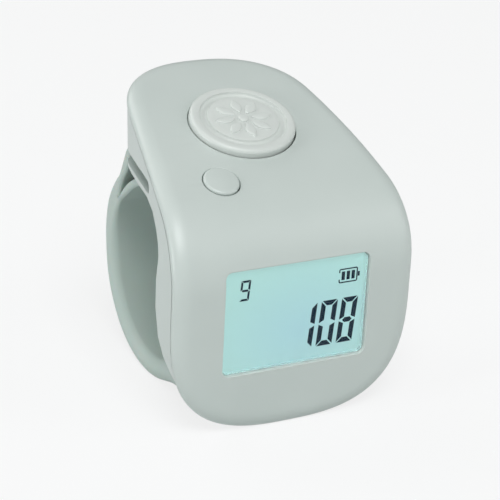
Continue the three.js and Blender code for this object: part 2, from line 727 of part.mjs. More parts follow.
// One leg of the fork runs under the roof plate, the other goes up behind it and hooks over it.
function fingerBand() {
  const middle = BORE_RADIUS + BAND_THICKNESS / 2;
  const forkEnd = Math.PI * 2 + FORK_ANGLE;
  const loop = [lowerRun(BAND_START_Y), ...ringArc(middle, BAND_LEAVES, forkEnd, 22)];
  const halfLeg = LEG_THICKNESS / 2;
  const innerLeg = ringArc(BORE_RADIUS + halfLeg, FORK_ANGLE - 0.2, radians(80), 9);
  const behindRoof = ROOF_END_Y + BAND_GAP + halfLeg;
  const overRoof = (GROOVE_LOW + GROOVE_HIGH) / 2;
  const legStart = ringArc(RING_OUTER - halfLeg, FORK_ANGLE - 0.2, FORK_ANGLE, 2);
  const outerLeg = [
    ...legStart,
    [behindRoof + 0.4, GROOVE_LOW - 1.15],
    [behindRoof, GROOVE_LOW - 0.3],
    [behindRoof - 0.05, overRoof - 0.45],
    [behindRoof - 0.4, overRoof - 0.08],
    [behindRoof - 0.8, overRoof],
    [ROOF_END_Y - HOOK_REACH, overRoof],
  ];
  return shape(
    [
      strap(loop, BAND_THICKNESS, BAND_WIDTH, BAND_EDGE_RADIUS),
      strap(innerLeg, LEG_THICKNESS, BAND_WIDTH, LEG_THICKNESS * 0.4),
      strap(outerLeg, LEG_THICKNESS, BAND_WIDTH, LEG_THICKNESS * 0.4),
      ...neckSolids(0),
    ],
    [block([-WIDTH, WIDTH], [0, DEPTH], [-5, 0])],
  );
}

// Display

// The window's outline, drawn in by a distance on every side.
function windowOutline(inset) {
  const corner = Math.max(WINDOW_CORNER - inset, 0.1);
  return roundedRectangle(WINDOW_WIDTH - 2 * inset, WINDOW_HEIGHT - 2 * inset, corner, WINDOW_Z);
}

function displayLens() {
  return frontCut(windowOutline(LENS_GAP), LENS_RECESS, LENS_THICKNESS);
}

function displayGasket() {
  const frame = windowOutline(LENS_GAP);
  frame.holes.push(windowOutline(LENS_GAP + GASKET_FRAME));
  return frontCut(frame, GASKET_Y, GASKET_THICKNESS);
}

function lcdPanel() {
  const x = LCD_WIDTH / 2;
  return shape([
    block([-x, x], [LCD_Y, LCD_Y + LCD_GLASS], [LCD_BOTTOM + LCD_LEDGE, LCD_TOP]),
    block([-x, x], [LCD_Y + LCD_GLASS, LCD_Y + 2 * LCD_GLASS], [LCD_BOTTOM, LCD_TOP]),
  ]);
}

// A clear plate with a wedge-shaped light inlet at each end for its lamp.
function lightGuide() {
  const x = LIGHT_GUIDE_WIDTH / 2;
  const low = BOARD_BOTTOM + CONTACT_STRIP_HEIGHT + 0.25;
  const inlet = LED_LENGTH / 2 + 0.4;
  const guide = polygon([
    [-x, low],
    [x, low],
    [x, WINDOW_Z - inlet],
    [x - 0.5, WINDOW_Z - inlet + 0.4],
    [x - 0.5, WINDOW_Z + inlet - 0.4],
    [x, WINDOW_Z + inlet],
    [x, LIGHT_GUIDE_TOP],
    [-x, LIGHT_GUIDE_TOP],
    [-x, WINDOW_Z + inlet],
    [-x + 0.5, WINDOW_Z + inlet - 0.4],
    [-x + 0.5, WINDOW_Z - inlet + 0.4],
    [-x, WINDOW_Z - inlet],
  ]);
  return frontCut(guide, LIGHT_GUIDE_Y, LIGHT_GUIDE_THICKNESS);
}

function backlightLed(side) {
  const near = LIGHT_GUIDE_WIDTH / 2 - 0.4;
  const x = [side * near, side * (near + LED_WIDTH)].sort((a, b) => a - b);
  const z = [WINDOW_Z - LED_LENGTH / 2, WINDOW_Z + LED_LENGTH / 2];
  return block(x, [LIGHT_GUIDE_Y + 0.1, BOARD_Y - STACK_GAP], z);
}

function contactStrip() {
  const x = CONTACT_STRIP_WIDTH / 2;
  const low = BOARD_BOTTOM + 0.05;
  return block([-x, x], [LIGHT_GUIDE_Y, BOARD_Y - STACK_GAP], [low, low + CONTACT_STRIP_HEIGHT]);
}

// The board's lower corners are cut away to clear the screw bosses and the rounded back.
function displayBoard() {
  const half = [
    [BOARD_FOOT_WIDTH / 2, BOARD_BOTTOM],
    [BOARD_CUT_WIDTH / 2, BOARD_CUT_Z],
    [BOARD_WIDTH / 2, BOARD_SIDE_Z],
    [BOARD_WIDTH / 2, BOARD_TOP - BOARD_CORNER],
    [BOARD_WIDTH / 2 - BOARD_CORNER, BOARD_TOP],
  ];
  const mirrored = half.map(([x, z]) => [-x, z]).reverse();
  return frontCut(polygon([...half, ...mirrored]), BOARD_Y, BOARD_THICKNESS);
}

// A chip or part on the rear of the display board.
function onBoard(x, z, width, height, thickness) {
  const y = BOARD_Y + BOARD_THICKNESS + STACK_GAP;
  return block([x - width / 2, x + width / 2], [y, y + thickness], [z - height / 2, z + height / 2]);
}

// Button pieces, each in its own frame

// Half of a turned button: post, flange, wall, rounded edge, then what the top adds.
function buttonProfile(radius, top, topPoints) {
  const flangeLow = FLANGE_TOP - FLANGE_THICKNESS;
  const postRadius = Math.min(1.2, radius * 0.5);
  const edge = Math.min(BUTTON_EDGE_RADIUS, top + 0.2);
  const round = [0, 1, 2, 3, 4].map((i) => {
    const turn = (i / 4) * (Math.PI / 2);
    return [radius - edge * (1 - Math.cos(turn)), top - edge * (1 - Math.sin(turn))];
  });
  return [
    [0, POST_END],
    [postRadius, POST_END],
    [postRadius, flangeLow],
    [radius + FLANGE_WIDTH, flangeLow],
    [radius + FLANGE_WIDTH, FLANGE_TOP],
    [radius, FLANGE_TOP],
    ...round,
    ...topPoints,
  ];
}

// A generic rosette in low relief: eight petals round a small hub.
function rosette(height) {
  const petalLength = 2.3;
  const petalHalf = 0.72;
  const inner = 1.05;
  const pieces = [post(0.62, height - 0.2, height + 0.18, 20)];
  for (let i = 0; i < 8; i++) {
    const petal = new THREE.Shape();
    petal.moveTo(inner, 0);
    petal.quadraticCurveTo(inner + petalLength * 0.45, petalHalf * 1.3, inner + petalLength, 0);
    petal.quadraticCurveTo(inner + petalLength * 0.45, -petalHalf * 1.3, inner, 0);
    const solid = new THREE.ExtrudeGeometry(petal, { depth: 0.38, curveSegments: 5, bevelEnabled: false });
    pieces.push(solid.translate(0, 0, height - 0.2).rotateZ((i * Math.PI) / 4));
  }
  return pieces;
}

function countButton() {
  const top = COUNT_HEIGHT;
  const grooveOut = COUNT_RADIUS * 0.83;
  const grooveIn = COUNT_RADIUS * 0.73;
  const grooveDeep = 0.3;
  const body = turned(
    buttonProfile(COUNT_RADIUS, top, [
      [grooveOut, top],
      [grooveOut - 0.1, top - grooveDeep],
      [grooveIn + 0.1, top - grooveDeep],
      [grooveIn, top - 0.05],
      [0, top - 0.05],
    ]),
    56,
  );
  return shape([body, ...rosette(top - 0.05)]);
}

function resetButton() {
  return turned(buttonProfile(RESET_RADIUS, RESET_HEIGHT, [[0, RESET_HEIGHT + 0.12]]), 32);
}

function keyBoard() {
  const x = KEY_BOARD_WIDTH / 2;
  const board = polygon([
    [-x, KEY_BOARD_FRONT],
    [x, KEY_BOARD_FRONT],
    [x, KEY_BOARD_REAR - KEY_BOARD_CORNER],
    [x - KEY_BOARD_CORNER, KEY_BOARD_REAR],
    [-x + KEY_BOARD_CORNER, KEY_BOARD_REAR],
    [-x, KEY_BOARD_REAR - KEY_BOARD_CORNER],
  ]);
  const plate = new THREE.ExtrudeGeometry(board, { depth: KEY_BOARD_THICKNESS, bevelEnabled: false });
  return plate.translate(0, 0, -KEY_BOARD_THICKNESS - SWITCH_SEAT_GAP);
}

// Switch case: a square pot with cut corners and a round bore for the plunger.
function switchCase() {
  const half = SWITCH_WIDTH / 2;
  const cut = 0.45;
  const pot = polygon([
    [-half + cut, -half],
    [half - cut, -half],
    [half, -half + cut],
    [half, half - cut],
    [half - cut, half],
    [-half + cut, half],
    [-half, half - cut],
    [-half, -half + cut],
  ]);
  const body = new THREE.ExtrudeGeometry(pot, { depth: SWITCH_HEIGHT, bevelEnabled: false });
  body.translate(0, 0, KEY_BOARD_TOP);
  const bore = post(PLUNGER_RADIUS + SWITCH_BORE_GAP, KEY_BOARD_TOP + SWITCH_FLOOR, SWITCH_TOP + 1, 24);
  return shape([body], [bore]);
}

function switchPlunger() {
  return post(PLUNGER_RADIUS, SWITCH_TOP - SWITCH_BORE_GAP, PLUNGER_TOP, 24);
}

// Power pieces

// A pin cell: a can with a crimp groove near its capped end and a short pin.
function batteryCell() {
  const r = CELL_RADIUS;
  const end = CELL_LENGTH;
  const profile = [
    [0, 0],
    [r - 0.25, 0],
    [r, 0.25],
    [r, end - 2.2],
    [r - 0.3, end - 1.9],
    [r - 0.3, end - 1.6],
    [r, end - 1.3],
    [r, end - 0.9],
    [r - 0.35, end - 0.6],
    [0.45, end - 0.6],
    [0.45, end],
    [0, end],
  ];
  const can = turned(profile, 28).rotateY(-Math.PI / 2);
  return can.translate(CELL_X + CELL_LENGTH / 2, CELL_Y, CELL_Z);
}

function wire(points) {
  const section = new THREE.Shape().absarc(0, 0, LEAD_RADIUS, 0, Math.PI * 2);
  const path = new THREE.CatmullRomCurve3(points.map((p) => new THREE.Vector3(...p)));
  return new THREE.ExtrudeGeometry(section, { steps: 14, curveSegments: 4, extrudePath: path });
}

// A lead from a place on the cell's end down to its pad on the rear of the display board.
function cellLead(startX, startZ, padX) {
  const padY = BOARD_Y + BOARD_THICKNESS + STACK_GAP + LEAD_RADIUS;
  return wire([
    [startX, CELL_Y, startZ],
    [lerp(startX, padX, 0.85), CELL_Y, startZ - 0.5],
    [padX, lerp(CELL_Y, padY, 0.3), lerp(startZ, LEAD_PAD_Z, 0.5)],
    [padX, padY, LEAD_PAD_Z],
  ]);
}

function redLead() {
  return cellLead(CELL_END - LEAD_RADIUS - LEAD_GAP, CELL_Z, CELL_END - RED_PAD_SIDE);
}

function blackLead() {
  return cellLead(CELL_END + BLACK_LEAD_START, CELL_Z - BLACK_LEAD_DROP, CELL_END + BLACK_PAD_SIDE);
}

// The flat cable leaves the rear of the display board, passes the cell's end and lies under the key board.
function boardFlex() {
  const foot = BOARD_Y + BOARD_THICKNESS + STACK_GAP + FLEX_THICKNESS / 2;
  const [endY, endZ] = underKeyBoard(KEY_BOARD_FRONT + 1.4);
  const [rimY, rimZ] = underKeyBoard(KEY_BOARD_FRONT + 0.6);
  const bend = new THREE.CatmullRomCurve3([
    new THREE.Vector3(0, foot, BOARD_TOP - 0.3),
    new THREE.Vector3(0, foot - 0.35, BOARD_TOP + 1.3),
    new THREE.Vector3(0, foot - 0.1, BOARD_TOP + 2.8),
    new THREE.Vector3(0, rimY, rimZ),
  ]);
  const path = [[foot, BOARD_TOP - 1.6], ...bend.getPoints(9).map(({ y, z }) => [y, z]), [endY, endZ]];
  const cable = strap(path, FLEX_THICKNESS, FLEX_WIDTH, FLEX_THICKNESS * 0.3, 1);
  return cable.translate(FLEX_X, 0, 0);
}

// A cable's middle line under the key board, as (y, z), at a distance along the board.
function underKeyBoard(along) {
  const depth = SWITCH_SEAT_GAP + KEY_BOARD_THICKNESS + STACK_GAP + FLEX_THICKNESS / 2;
  const place = new THREE.Vector3(0, along, -depth).applyMatrix4(boardFrame.matrix);
  return [place.y, place.z];
}

function chargeFlex() {
  const onBoardZ = CHARGE_BOARD_Z + CHARGE_BOARD_THICKNESS + STACK_GAP + FLEX_THICKNESS / 2;
  const path = [
    [CHARGE_BOARD_Y + CHARGE_FLEX_LAP, onBoardZ],
    [CHARGE_BOARD_Y - FLEX_THICKNESS, onBoardZ],
    underKeyBoard(KEY_BOARD_REAR - CHARGE_FLEX_LAP),
    underKeyBoard(KEY_BOARD_REAR - 2 * CHARGE_FLEX_LAP),
  ];
  return strap(path, FLEX_THICKNESS, FLEX_WIDTH, FLEX_THICKNESS * 0.3, 1);
}

function chargeBoard() {
  const x = CHARGE_BOARD_WIDTH / 2;
  const y = [CHARGE_BOARD_Y, CHARGE_BOARD_Y + CHARGE_BOARD_LENGTH];
  return block([-x, x], y, [CHARGE_BOARD_Z, CHARGE_BOARD_Z + CHARGE_BOARD_THICKNESS]);
}

function chargeSocket() {
  const centre = SOCKET_Z + SOCKET_HEIGHT / 2;
  const start = SOCKET_MOUTH_Y - SOCKET_LENGTH;
  const corner = SOCKET_HEIGHT / 2 - 0.02;
  const can = roundedRectangle(SOCKET_WIDTH, SOCKET_HEIGHT, corner, centre);
  const bore = roundedRectangle(
    SOCKET_WIDTH - 2 * SOCKET_WALL,
    SOCKET_HEIGHT - 2 * SOCKET_WALL,
    corner - SOCKET_WALL,
    centre,
  );
  const cavity = frontCut(bore, start + SOCKET_REAR_WALL, SOCKET_LENGTH);
  return shape([frontCut(can, start, SOCKET_LENGTH)], [cavity]);
}

function socketTongue() {
  const centre = SOCKET_Z + SOCKET_HEIGHT / 2;
  const tip = SOCKET_MOUTH_Y - TONGUE_RECESS;
  const root = SOCKET_MOUTH_Y - SOCKET_LENGTH + SOCKET_REAR_WALL + STACK_GAP;
  const bar = [TONGUE_WIDTH / 2, TONGUE_THICKNESS / 2];
  const base = [TONGUE_ROOT_WIDTH / 2, TONGUE_ROOT_HEIGHT / 2];
  return shape([
    block([-bar[0], bar[0]], [root + TONGUE_ROOT_LENGTH / 2, tip], [centre - bar[1], centre + bar[1]]),
    block([-base[0], base[0]], [root, root + TONGUE_ROOT_LENGTH], [centre - base[1], centre + base[1]]),
  ]);
}

// A pan-head screw about +Z: the head's top at zero, the shank going down.
function screw() {
  return turned(
    [
      [0, -SCREW_HEAD_HEIGHT - SCREW_LENGTH],
      [SCREW_RADIUS - 0.25, -SCREW_HEAD_HEIGHT - SCREW_LENGTH],
      [SCREW_RADIUS, -SCREW_HEAD_HEIGHT - SCREW_LENGTH + 0.35],
      [SCREW_RADIUS, -SCREW_HEAD_HEIGHT],
      [SCREW_HEAD_RADIUS, -SCREW_HEAD_HEIGHT],
      [SCREW_HEAD_RADIUS, -0.2],
      [SCREW_HEAD_RADIUS - 0.2, 0],
      [0, 0],
    ],
    20,
  );
}

// Assembly

const counter = new THREE.Group();
counter.position.y = -DEPTH / 2;

function add(name, geometry, finish, parent = counter) {
  const mesh = new THREE.Mesh(geometry, materials[finish]);
  mesh.name = name;
  parent.add(mesh);
  return mesh;
}

add('front_shell', frontShell(), 'shell');
add('back_shell', backShell(), 'shell');
add('finger_band', fingerBand(), 'band');

add('display_lens', displayLens(), 'lens');
add('display_gasket', displayGasket(), 'rubber');
add('lcd_panel', lcdPanel(), 'lcd');
add('light_guide', lightGuide(), 'light');
add('backlight_led_left', backlightLed(-1), 'led');
add('backlight_led_right', backlightLed(1), 'led');
add('contact_strip', contactStrip(), 'rubber');
add('display_board', displayBoard(), 'board');
add('controller_chip', onBoard(...CONTROLLER_CHIP), 'chip');
add('crystal', onBoard(...CRYSTAL), 'steel');
add('capacitor_upper', onBoard(...CAPACITOR_UPPER), 'ceramic');
add('capacitor_lower', onBoard(...CAPACITOR_LOWER), 'ceramic');
add('board_flex', boardFlex(), 'flex');

counter.add(countFrame, resetFrame, boardFrame);
add('count_button', countButton(), 'button', countFrame);
add('reset_button', resetButton(), 'button', resetFrame);
add('key_board', keyBoard(), 'board', boardFrame);
add('count_switch_case', switchCase(), 'steel', countFrame);
add('count_switch_plunger', switchPlunger(), 'chip', countFrame);
add('reset_switch_case', switchCase(), 'steel', resetFrame);
add('reset_switch_plunger', switchPlunger(), 'chip', resetFrame);

add('battery_cell', batteryCell(), 'steel');
add('battery_lead_red', redLead(), 'red');
add('battery_lead_black', blackLead(), 'black');
add('charge_board', chargeBoard(), 'board');
add('charge_flex', chargeFlex(), 'flex');
add('charge_socket', chargeSocket(), 'steel');
add('charge_tongue', socketTongue(), 'black');

for (const [side, sign] of [['left', -1], ['right', 1]]) {
  const low = add(`screw_low_${side}`, screw(), 'steel');
  low.rotation.x = -Math.PI / 2;
  low.position.set(sign * LOW_SCREW_X, LOW_SCREW_SEAT_Y + SCREW_HEAD_HEIGHT + 0.05, LOW_SCREW_Z);
  const rear = add(`screw_rear_${side}`, screw(), 'steel');
  rear.rotation.x = Math.PI;
  rear.position.set(sign * REAR_SCREW_X, REAR_SCREW_Y, GROOVE_HIGH - 0.05);
}

export default counter;
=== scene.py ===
# %% [markdown]
# # A finger tally counter
#
# A small housing sits on top of the knuckle and a soft band goes round the finger. The front holds a
# little lit display, the top a large push button that counts and a small one that resets. This lesson
# dresses the CAD frame of that counter: the pieces that are seen get a finer mesh, and every piece gets
# a finish that is made from nodes. All sizes below are in millimetres and are turned to metres once.

import json
import math

import bmesh
import bpy
from mathutils import Matrix, Vector

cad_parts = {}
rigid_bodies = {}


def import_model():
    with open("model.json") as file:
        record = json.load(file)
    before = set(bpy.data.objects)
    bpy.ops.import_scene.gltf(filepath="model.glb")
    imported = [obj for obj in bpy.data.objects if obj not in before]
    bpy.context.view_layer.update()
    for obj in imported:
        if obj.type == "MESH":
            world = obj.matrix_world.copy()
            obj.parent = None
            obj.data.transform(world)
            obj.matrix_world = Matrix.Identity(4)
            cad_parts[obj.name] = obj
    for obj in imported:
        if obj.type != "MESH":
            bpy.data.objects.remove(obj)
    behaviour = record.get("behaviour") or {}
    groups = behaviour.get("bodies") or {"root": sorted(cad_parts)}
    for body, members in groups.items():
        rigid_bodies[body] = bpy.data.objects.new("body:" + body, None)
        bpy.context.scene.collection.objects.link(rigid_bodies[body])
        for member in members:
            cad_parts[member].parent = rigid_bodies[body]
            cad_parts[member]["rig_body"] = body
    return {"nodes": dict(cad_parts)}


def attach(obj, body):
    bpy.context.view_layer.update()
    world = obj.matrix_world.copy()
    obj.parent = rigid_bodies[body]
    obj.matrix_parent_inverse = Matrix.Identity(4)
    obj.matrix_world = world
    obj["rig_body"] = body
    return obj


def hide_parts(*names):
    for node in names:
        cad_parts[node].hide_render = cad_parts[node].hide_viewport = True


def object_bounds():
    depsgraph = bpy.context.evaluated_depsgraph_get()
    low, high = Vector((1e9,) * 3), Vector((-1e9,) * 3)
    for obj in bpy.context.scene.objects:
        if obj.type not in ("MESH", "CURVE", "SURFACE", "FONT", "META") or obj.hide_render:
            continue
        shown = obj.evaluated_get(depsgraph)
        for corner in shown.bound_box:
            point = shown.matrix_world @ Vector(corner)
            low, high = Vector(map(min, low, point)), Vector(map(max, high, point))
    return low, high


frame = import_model()
nodes = frame["nodes"]
cad_low, cad_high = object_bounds()
MM = 0.001
print("CAD box in mm:", [round((high - low) / MM, 2) for low, high in zip(cad_low, cad_high)])

# %% [markdown]
# ## The camera
#
# The counter is seen from its left, a little from above, through a long lens, so it shows almost no
# perspective. The camera could be aimed by eye, but the housing's outline, the display and both buttons
# have places on the object, so the camera was fitted to them with the counter's width held at 29 mm. A
# small roll and shift put the counter where it stands in the picture.

# %% Camera
CAMERA_PLACE = Vector((-93.168, -176.133, 96.906))
CAMERA_AZIMUTH = math.radians(-28.848)
CAMERA_ELEVATION = math.radians(22.481)
CAMERA_ROLL = math.radians(-3.169)

back = Vector(
    (
        math.sin(CAMERA_AZIMUTH) * math.cos(CAMERA_ELEVATION),
        -math.cos(CAMERA_AZIMUTH) * math.cos(CAMERA_ELEVATION),
        math.sin(CAMERA_ELEVATION),
    )
)
level_right = Vector((math.cos(CAMERA_AZIMUTH), math.sin(CAMERA_AZIMUTH), 0))
level_up = back.cross(level_right)
camera_right = math.cos(CAMERA_ROLL) * level_right - math.sin(CAMERA_ROLL) * level_up
camera_up = math.sin(CAMERA_ROLL) * level_right + math.cos(CAMERA_ROLL) * level_up

lens = bpy.data.cameras.new("camera")
lens.lens = 136.58
lens.sensor_width = 36
lens.shift_x = -0.02984
lens.shift_y = 0.00863
lens.clip_start = 0.01
camera = bpy.data.objects.new("camera", lens)
bpy.context.scene.collection.objects.link(camera)
turn = Matrix((camera_right, camera_up, back)).transposed().to_4x4()
camera.matrix_world = Matrix.Translation(CAMERA_PLACE * MM) @ turn
bpy.context.scene.camera = camera
print("camera looks at the counter from", round((CAMERA_PLACE * MM).length, 3), "m")

# %% [markdown]
# ## Colours and nodes
#
# A colour is written as the hex value that a screen shows, and Blender's sockets want light values, so
# one function turns the first into the second. A second small function adds any node with its settings
# and its links. Two more give the noise and the drift between two tones that most finishes share. With
# these each finish below reads as a short list of what it is made of.


# %% Helpers for colours and nodes
def light(hex_value):
    """The linear colour of an sRGB hex value."""
    channels = [((hex_value >> shift) & 255) / 255 for shift in (16, 8, 0)]
    linear = [c / 12.92 if c <= 0.04045 else ((c + 0.055) / 1.055) ** 2.4 for c in channels]
    return (*linear, 1.0)


def add_node(tree, kind, settings=None, **inputs):
    """Adds a node. An input takes a number or colour, or another node's output as its link."""
    node = tree.nodes.new(kind)
    for name, value in (settings or {}).items():
        setattr(node, name, value)
    for name, value in inputs.items():
        socket = node.inputs[int(name[1:])] if name[1:].isdigit() else node.inputs[name.replace("_", " ")]
        if isinstance(value, bpy.types.NodeSocket):
            tree.links.new(value, socket)
        else:
            socket.default_value = value
    return node


def start_material(name):
    """An empty material and its node tree."""
    material = bpy.data.materials.new(name)
    material.use_nodes = True
    material.node_tree.nodes.clear()
    return material, material.node_tree


def noise(tree, size_mm, detail, roughness=0.5):
    """Noise in the object's own space, with blotches of about the given size."""
    place = add_node(tree, "ShaderNodeTexCoord").outputs["Object"]
    scale = 1 / (size_mm * MM)
    cloud = add_node(tree, "ShaderNodeTexNoise", Vector=place, Scale=scale, Detail=detail, Roughness=roughness)
    return cloud.outputs["Fac"]


def two_tones(tree, share, tone, other_tone):
    """A colour that drifts between two tones."""
    tint = add_node(tree, "ShaderNodeMix", {"data_type": "RGBA"}, _0=share, _6=light(tone), _7=light(other_tone))
    return tint.outputs[2]


print("white is", light(0xFFFFFF))

# %% [markdown]
# ## Floor and light
#
# The counter stands on a plain pale floor. The picture's ground is white with no horizon, which could
# be had from a very strong lamp, but that would bleach the counter. Instead the floor and the world
# look white only to rays that come straight from the camera or through gloss and clear plastic. The
# floor keeps a part of its own shading, so the counter's soft shadow still lies on it.

# %% Helper that tells rays apart
def any_ray(tree, kinds):
    """An output that is 1 for a ray of any of the given kinds."""
    seen = add_node(tree, "ShaderNodeLightPath")
    found = seen.outputs[kinds[0]]
    for kind in kinds[1:]:
        either = add_node(tree, "ShaderNodeMath", {"operation": "MAXIMUM"}, _0=found, _1=seen.outputs[kind])
        found = either.outputs["Value"]
    return found


# %% Floor
floor_material, tree = start_material("painted_floor_matte")
any_view = any_ray(tree, ["Is Camera Ray", "Is Glossy Ray", "Is Transmission Ray"])
share = add_node(tree, "ShaderNodeMath", {"operation": "MULTIPLY"}, _0=any_view, _1=0.8)
paint = add_node(tree, "ShaderNodeBsdfDiffuse", Color=light(0xD6DADA), Roughness=0.6)
white = add_node(tree, "ShaderNodeEmission", Color=light(0xFFFFFF), Strength=1.0)
mixed = add_node(
    tree,
    "ShaderNodeMixShader",
    _0=share.outputs["Value"],
    _1=paint.outputs["BSDF"],
    _2=white.outputs["Emission"],
)
add_node(tree, "ShaderNodeOutputMaterial", Surface=mixed.outputs["Shader"])

floor_mesh = bpy.data.meshes.new("floor")
floor_bm = bmesh.new()
bmesh.ops.create_grid(floor_bm, x_segments=1, y_segments=1, size=2.0)
bmesh.ops.translate(floor_bm, verts=floor_bm.verts, vec=(0, 0, -0.00002))
floor_bm.to_mesh(floor_mesh)
floor_bm.free()
floor_mesh.materials.append(floor_material)
floor = bpy.data.objects.new("floor", floor_mesh)
bpy.context.scene.collection.objects.link(floor)
print("floor is", floor.dimensions.x, "m wide")

# %% World light
world = bpy.data.worlds.new("studio")
bpy.context.scene.world = world
world.use_nodes = True
tree = world.node_tree
tree.nodes.clear()
direct = any_ray(tree, ["Is Camera Ray", "Is Transmission Ray"])
room = add_node(tree, "ShaderNodeBackground", Color=light(0xF7FAFB), Strength=0.14)
white = add_node(tree, "ShaderNodeBackground", Color=light(0xFFFFFF), Strength=1.0)
mixed = add_node(
    tree,
    "ShaderNodeMixShader",
    _0=direct,
    _1=room.outputs["Background"],
    _2=white.outputs["Background"],
)
add_node(tree, "ShaderNodeOutputWorld", Surface=mixed.outputs["Shader"])

# %% Lamps
LAMPS = [
    # name, place, width and height, power in watts
    ("lamp_over_front", Vector((-0.12, -0.34, 0.5)), (0.3, 0.3), 2.48),
    ("lamp_front_right", Vector((0.42, -0.36, 0.26)), (0.3, 0.4), 0.82),
    ("lamp_left", Vector((-0.55, -0.06, 0.09)), (0.16, 0.24), 1.2),
    ("lamp_behind", Vector((-0.2, 0.42, 0.42)), (0.4, 0.3), 1.05),
]
for name, place, (width, height), power in LAMPS:
    lamp = bpy.data.lights.new(name, "AREA")
    lamp.shape = "RECTANGLE"
    lamp.size, lamp.size_y = width, height
    lamp.energy = power
    holder = bpy.data.objects.new(name, lamp)
    bpy.context.scene.collection.objects.link(holder)
    aim = Vector((0, 0, 0.018)) - place
    holder.matrix_world = Matrix.Translation(place) @ aim.to_track_quat("-Z", "Y").to_matrix().to_4x4()
    print(name, "stands", round(place.length, 2), "m away")

view = bpy.context.scene.view_settings
view.view_transform = "Standard"

# %% [markdown]
# ## Finish of the housing
#
# Front and back shell are moulded in ABS, a tough opaque plastic, here in a pale grey green. The mould
# is spark eroded, which gives a satin face: light spreads into a soft sheen and fine grit breaks it up.
# A flat colour would look like paper, so a fine noise drives a shallow bump and a second, wide one
# moves the roughness a little, as handling does. Real grit is about 0.05 mm and can't be seen at
# picture size, so it is drawn at 0.2 mm.


# %% Moulded ABS of the shells
def moulded_plastic(name, colour, shade, roughness, grain_mm, grain_depth_mm):
    """Satin moulded plastic: a little colour drift, handled roughness and a fine spark-eroded grain."""
    material, tree = start_material(name)
    drift = noise(tree, 9, 2.0)
    grain = noise(tree, grain_mm, 3.0, 0.6)
    sheen = add_node(
        tree,
        "ShaderNodeMapRange",
        Value=drift,
        From_Min=0.3,
        From_Max=0.7,
        To_Min=roughness - 0.04,
        To_Max=roughness + 0.05,
    )
    bump = add_node(tree, "ShaderNodeBump", Strength=1.0, Distance=grain_depth_mm * MM, Height=grain)
    surface = add_node(
        tree,
        "ShaderNodeBsdfPrincipled",
        Base_Color=two_tones(tree, drift, shade, colour),
        Roughness=sheen.outputs["Result"],
        IOR=1.54,
        Normal=bump.outputs["Normal"],
    )
    add_node(tree, "ShaderNodeOutputMaterial", Surface=surface.outputs["BSDF"])
    return material


shell_plastic = moulded_plastic("moulded_abs_shell_satin", 0xC5CECA, 0xBFC9C5, 0.38, 0.2, 0.004)
button_plastic = moulded_plastic("moulded_abs_button_satin", 0xD0D6D2, 0xCBD2CE, 0.42, 0.2, 0.003)
print("made", shell_plastic.name, "and", button_plastic.name)

# %% [markdown]
# ## Finish of the band
#
# The band is silicone rubber. It is softer to the eye than the housing: more matte, a touch greener,
# and light goes a little way into it. A plain rough surface would look like chalk, so it gets a small
# share of light under the surface and a weak sheen that lifts its edges.

# %% Silicone of the band
band_rubber, tree = start_material("moulded_silicone_band_matte")
cloud = noise(tree, 6, 2.0)
skin_grain = noise(tree, 0.25, 2.0)
bump = add_node(tree, "ShaderNodeBump", Strength=1.0, Distance=0.004 * MM, Height=skin_grain)
surface = add_node(
    tree,
    "ShaderNodeBsdfPrincipled",
    Base_Color=two_tones(tree, cloud, 0xB3C2BB, 0xBCCAC4),
    Roughness=0.58,
    IOR=1.41,
    Subsurface_Weight=0.12,
    Subsurface_Scale=0.4 * MM,
    Sheen_Weight=0.1,
    Sheen_Roughness=0.5,
    Normal=bump.outputs["Normal"],
)
add_node(tree, "ShaderNodeOutputMaterial", Surface=surface.outputs["BSDF"])
print("made", band_rubber.name)

# %% [markdown]
# ## Finish of the display
#
# Behind a clear acrylic window lies a liquid crystal panel with a pale aqua light behind it. The panel
# could be lit from inside through real layers, but that takes far more light paths than it is worth.
# Its face is given a weak glow of its own instead, so that it looks as evenly lit as the real one. The
# colour of the glow drifts from a greener edge to a bluer middle.

# %% Acrylic window
clear_acrylic, tree = start_material("clear_acrylic_polished")
haze = add_node(
    tree,
    "ShaderNodeMapRange",
    Value=noise(tree, 3, 4.0),
    From_Min=0.35,
    From_Max=0.7,
    To_Min=0.01,
    To_Max=0.03,
)
surface = add_node(
    tree,
    "ShaderNodeBsdfPrincipled",
    Base_Color=light(0xF4FCFB),
    Roughness=haze.outputs["Result"],
    IOR=1.2,  # acrylic has 1.49, and this is matched to the picture, where the pane mirrors almost nothing
    Specular_IOR_Level=0.15,
    Transmission_Weight=1.0,
)
add_node(tree, "ShaderNodeOutputMaterial", Surface=surface.outputs["BSDF"])
print("made", clear_acrylic.name)

# %% Lit face of the panel
lit_face, tree = start_material("liquid_crystal_face_backlit")
place = add_node(tree, "ShaderNodeTexCoord")
spot = add_node(
    tree,
    "ShaderNodeMapping",
    Vector=place.outputs["Object"],
    Location=(-1.0 * MM * 90, 0.0, -11.0 * MM * 120),
    Scale=(90.0, 0.0, 120.0),
)
glow = add_node(tree, "ShaderNodeTexGradient", {"gradient_type": "SPHERICAL"}, Vector=spot.outputs["Vector"])
surface = add_node(
    tree,
    "ShaderNodeBsdfPrincipled",
    Base_Color=light(0x6F8F90),
    Roughness=0.35,
    Emission_Color=two_tones(tree, glow.outputs["Fac"], 0xBADAD4, 0xAECBD8),
    Emission_Strength=0.61,
)
add_node(tree, "ShaderNodeOutputMaterial", Surface=surface.outputs["BSDF"])
print("made", lit_face.name)

# %% Dark segments
# The dark segments get a faint navy glow of their own: painted light that stands in for the lamp light which the clear
# pane keeps from reaching them.
dark_segment, tree = start_material("liquid_crystal_segment_dark_painted_glow")
surface = add_node(
    tree,
    "ShaderNodeBsdfPrincipled",
    Base_Color=light(0x0A1018),
    Roughness=0.8,
    Specular_IOR_Level=0.0,
    Emission_Color=two_tones(tree, noise(tree, 1.5, 1.0), 0x1E4660, 0x26506A),
    Emission_Strength=0.2,
)
add_node(tree, "ShaderNodeOutputMaterial", Surface=surface.outputs["BSDF"])
print("made", dark_segment.name)

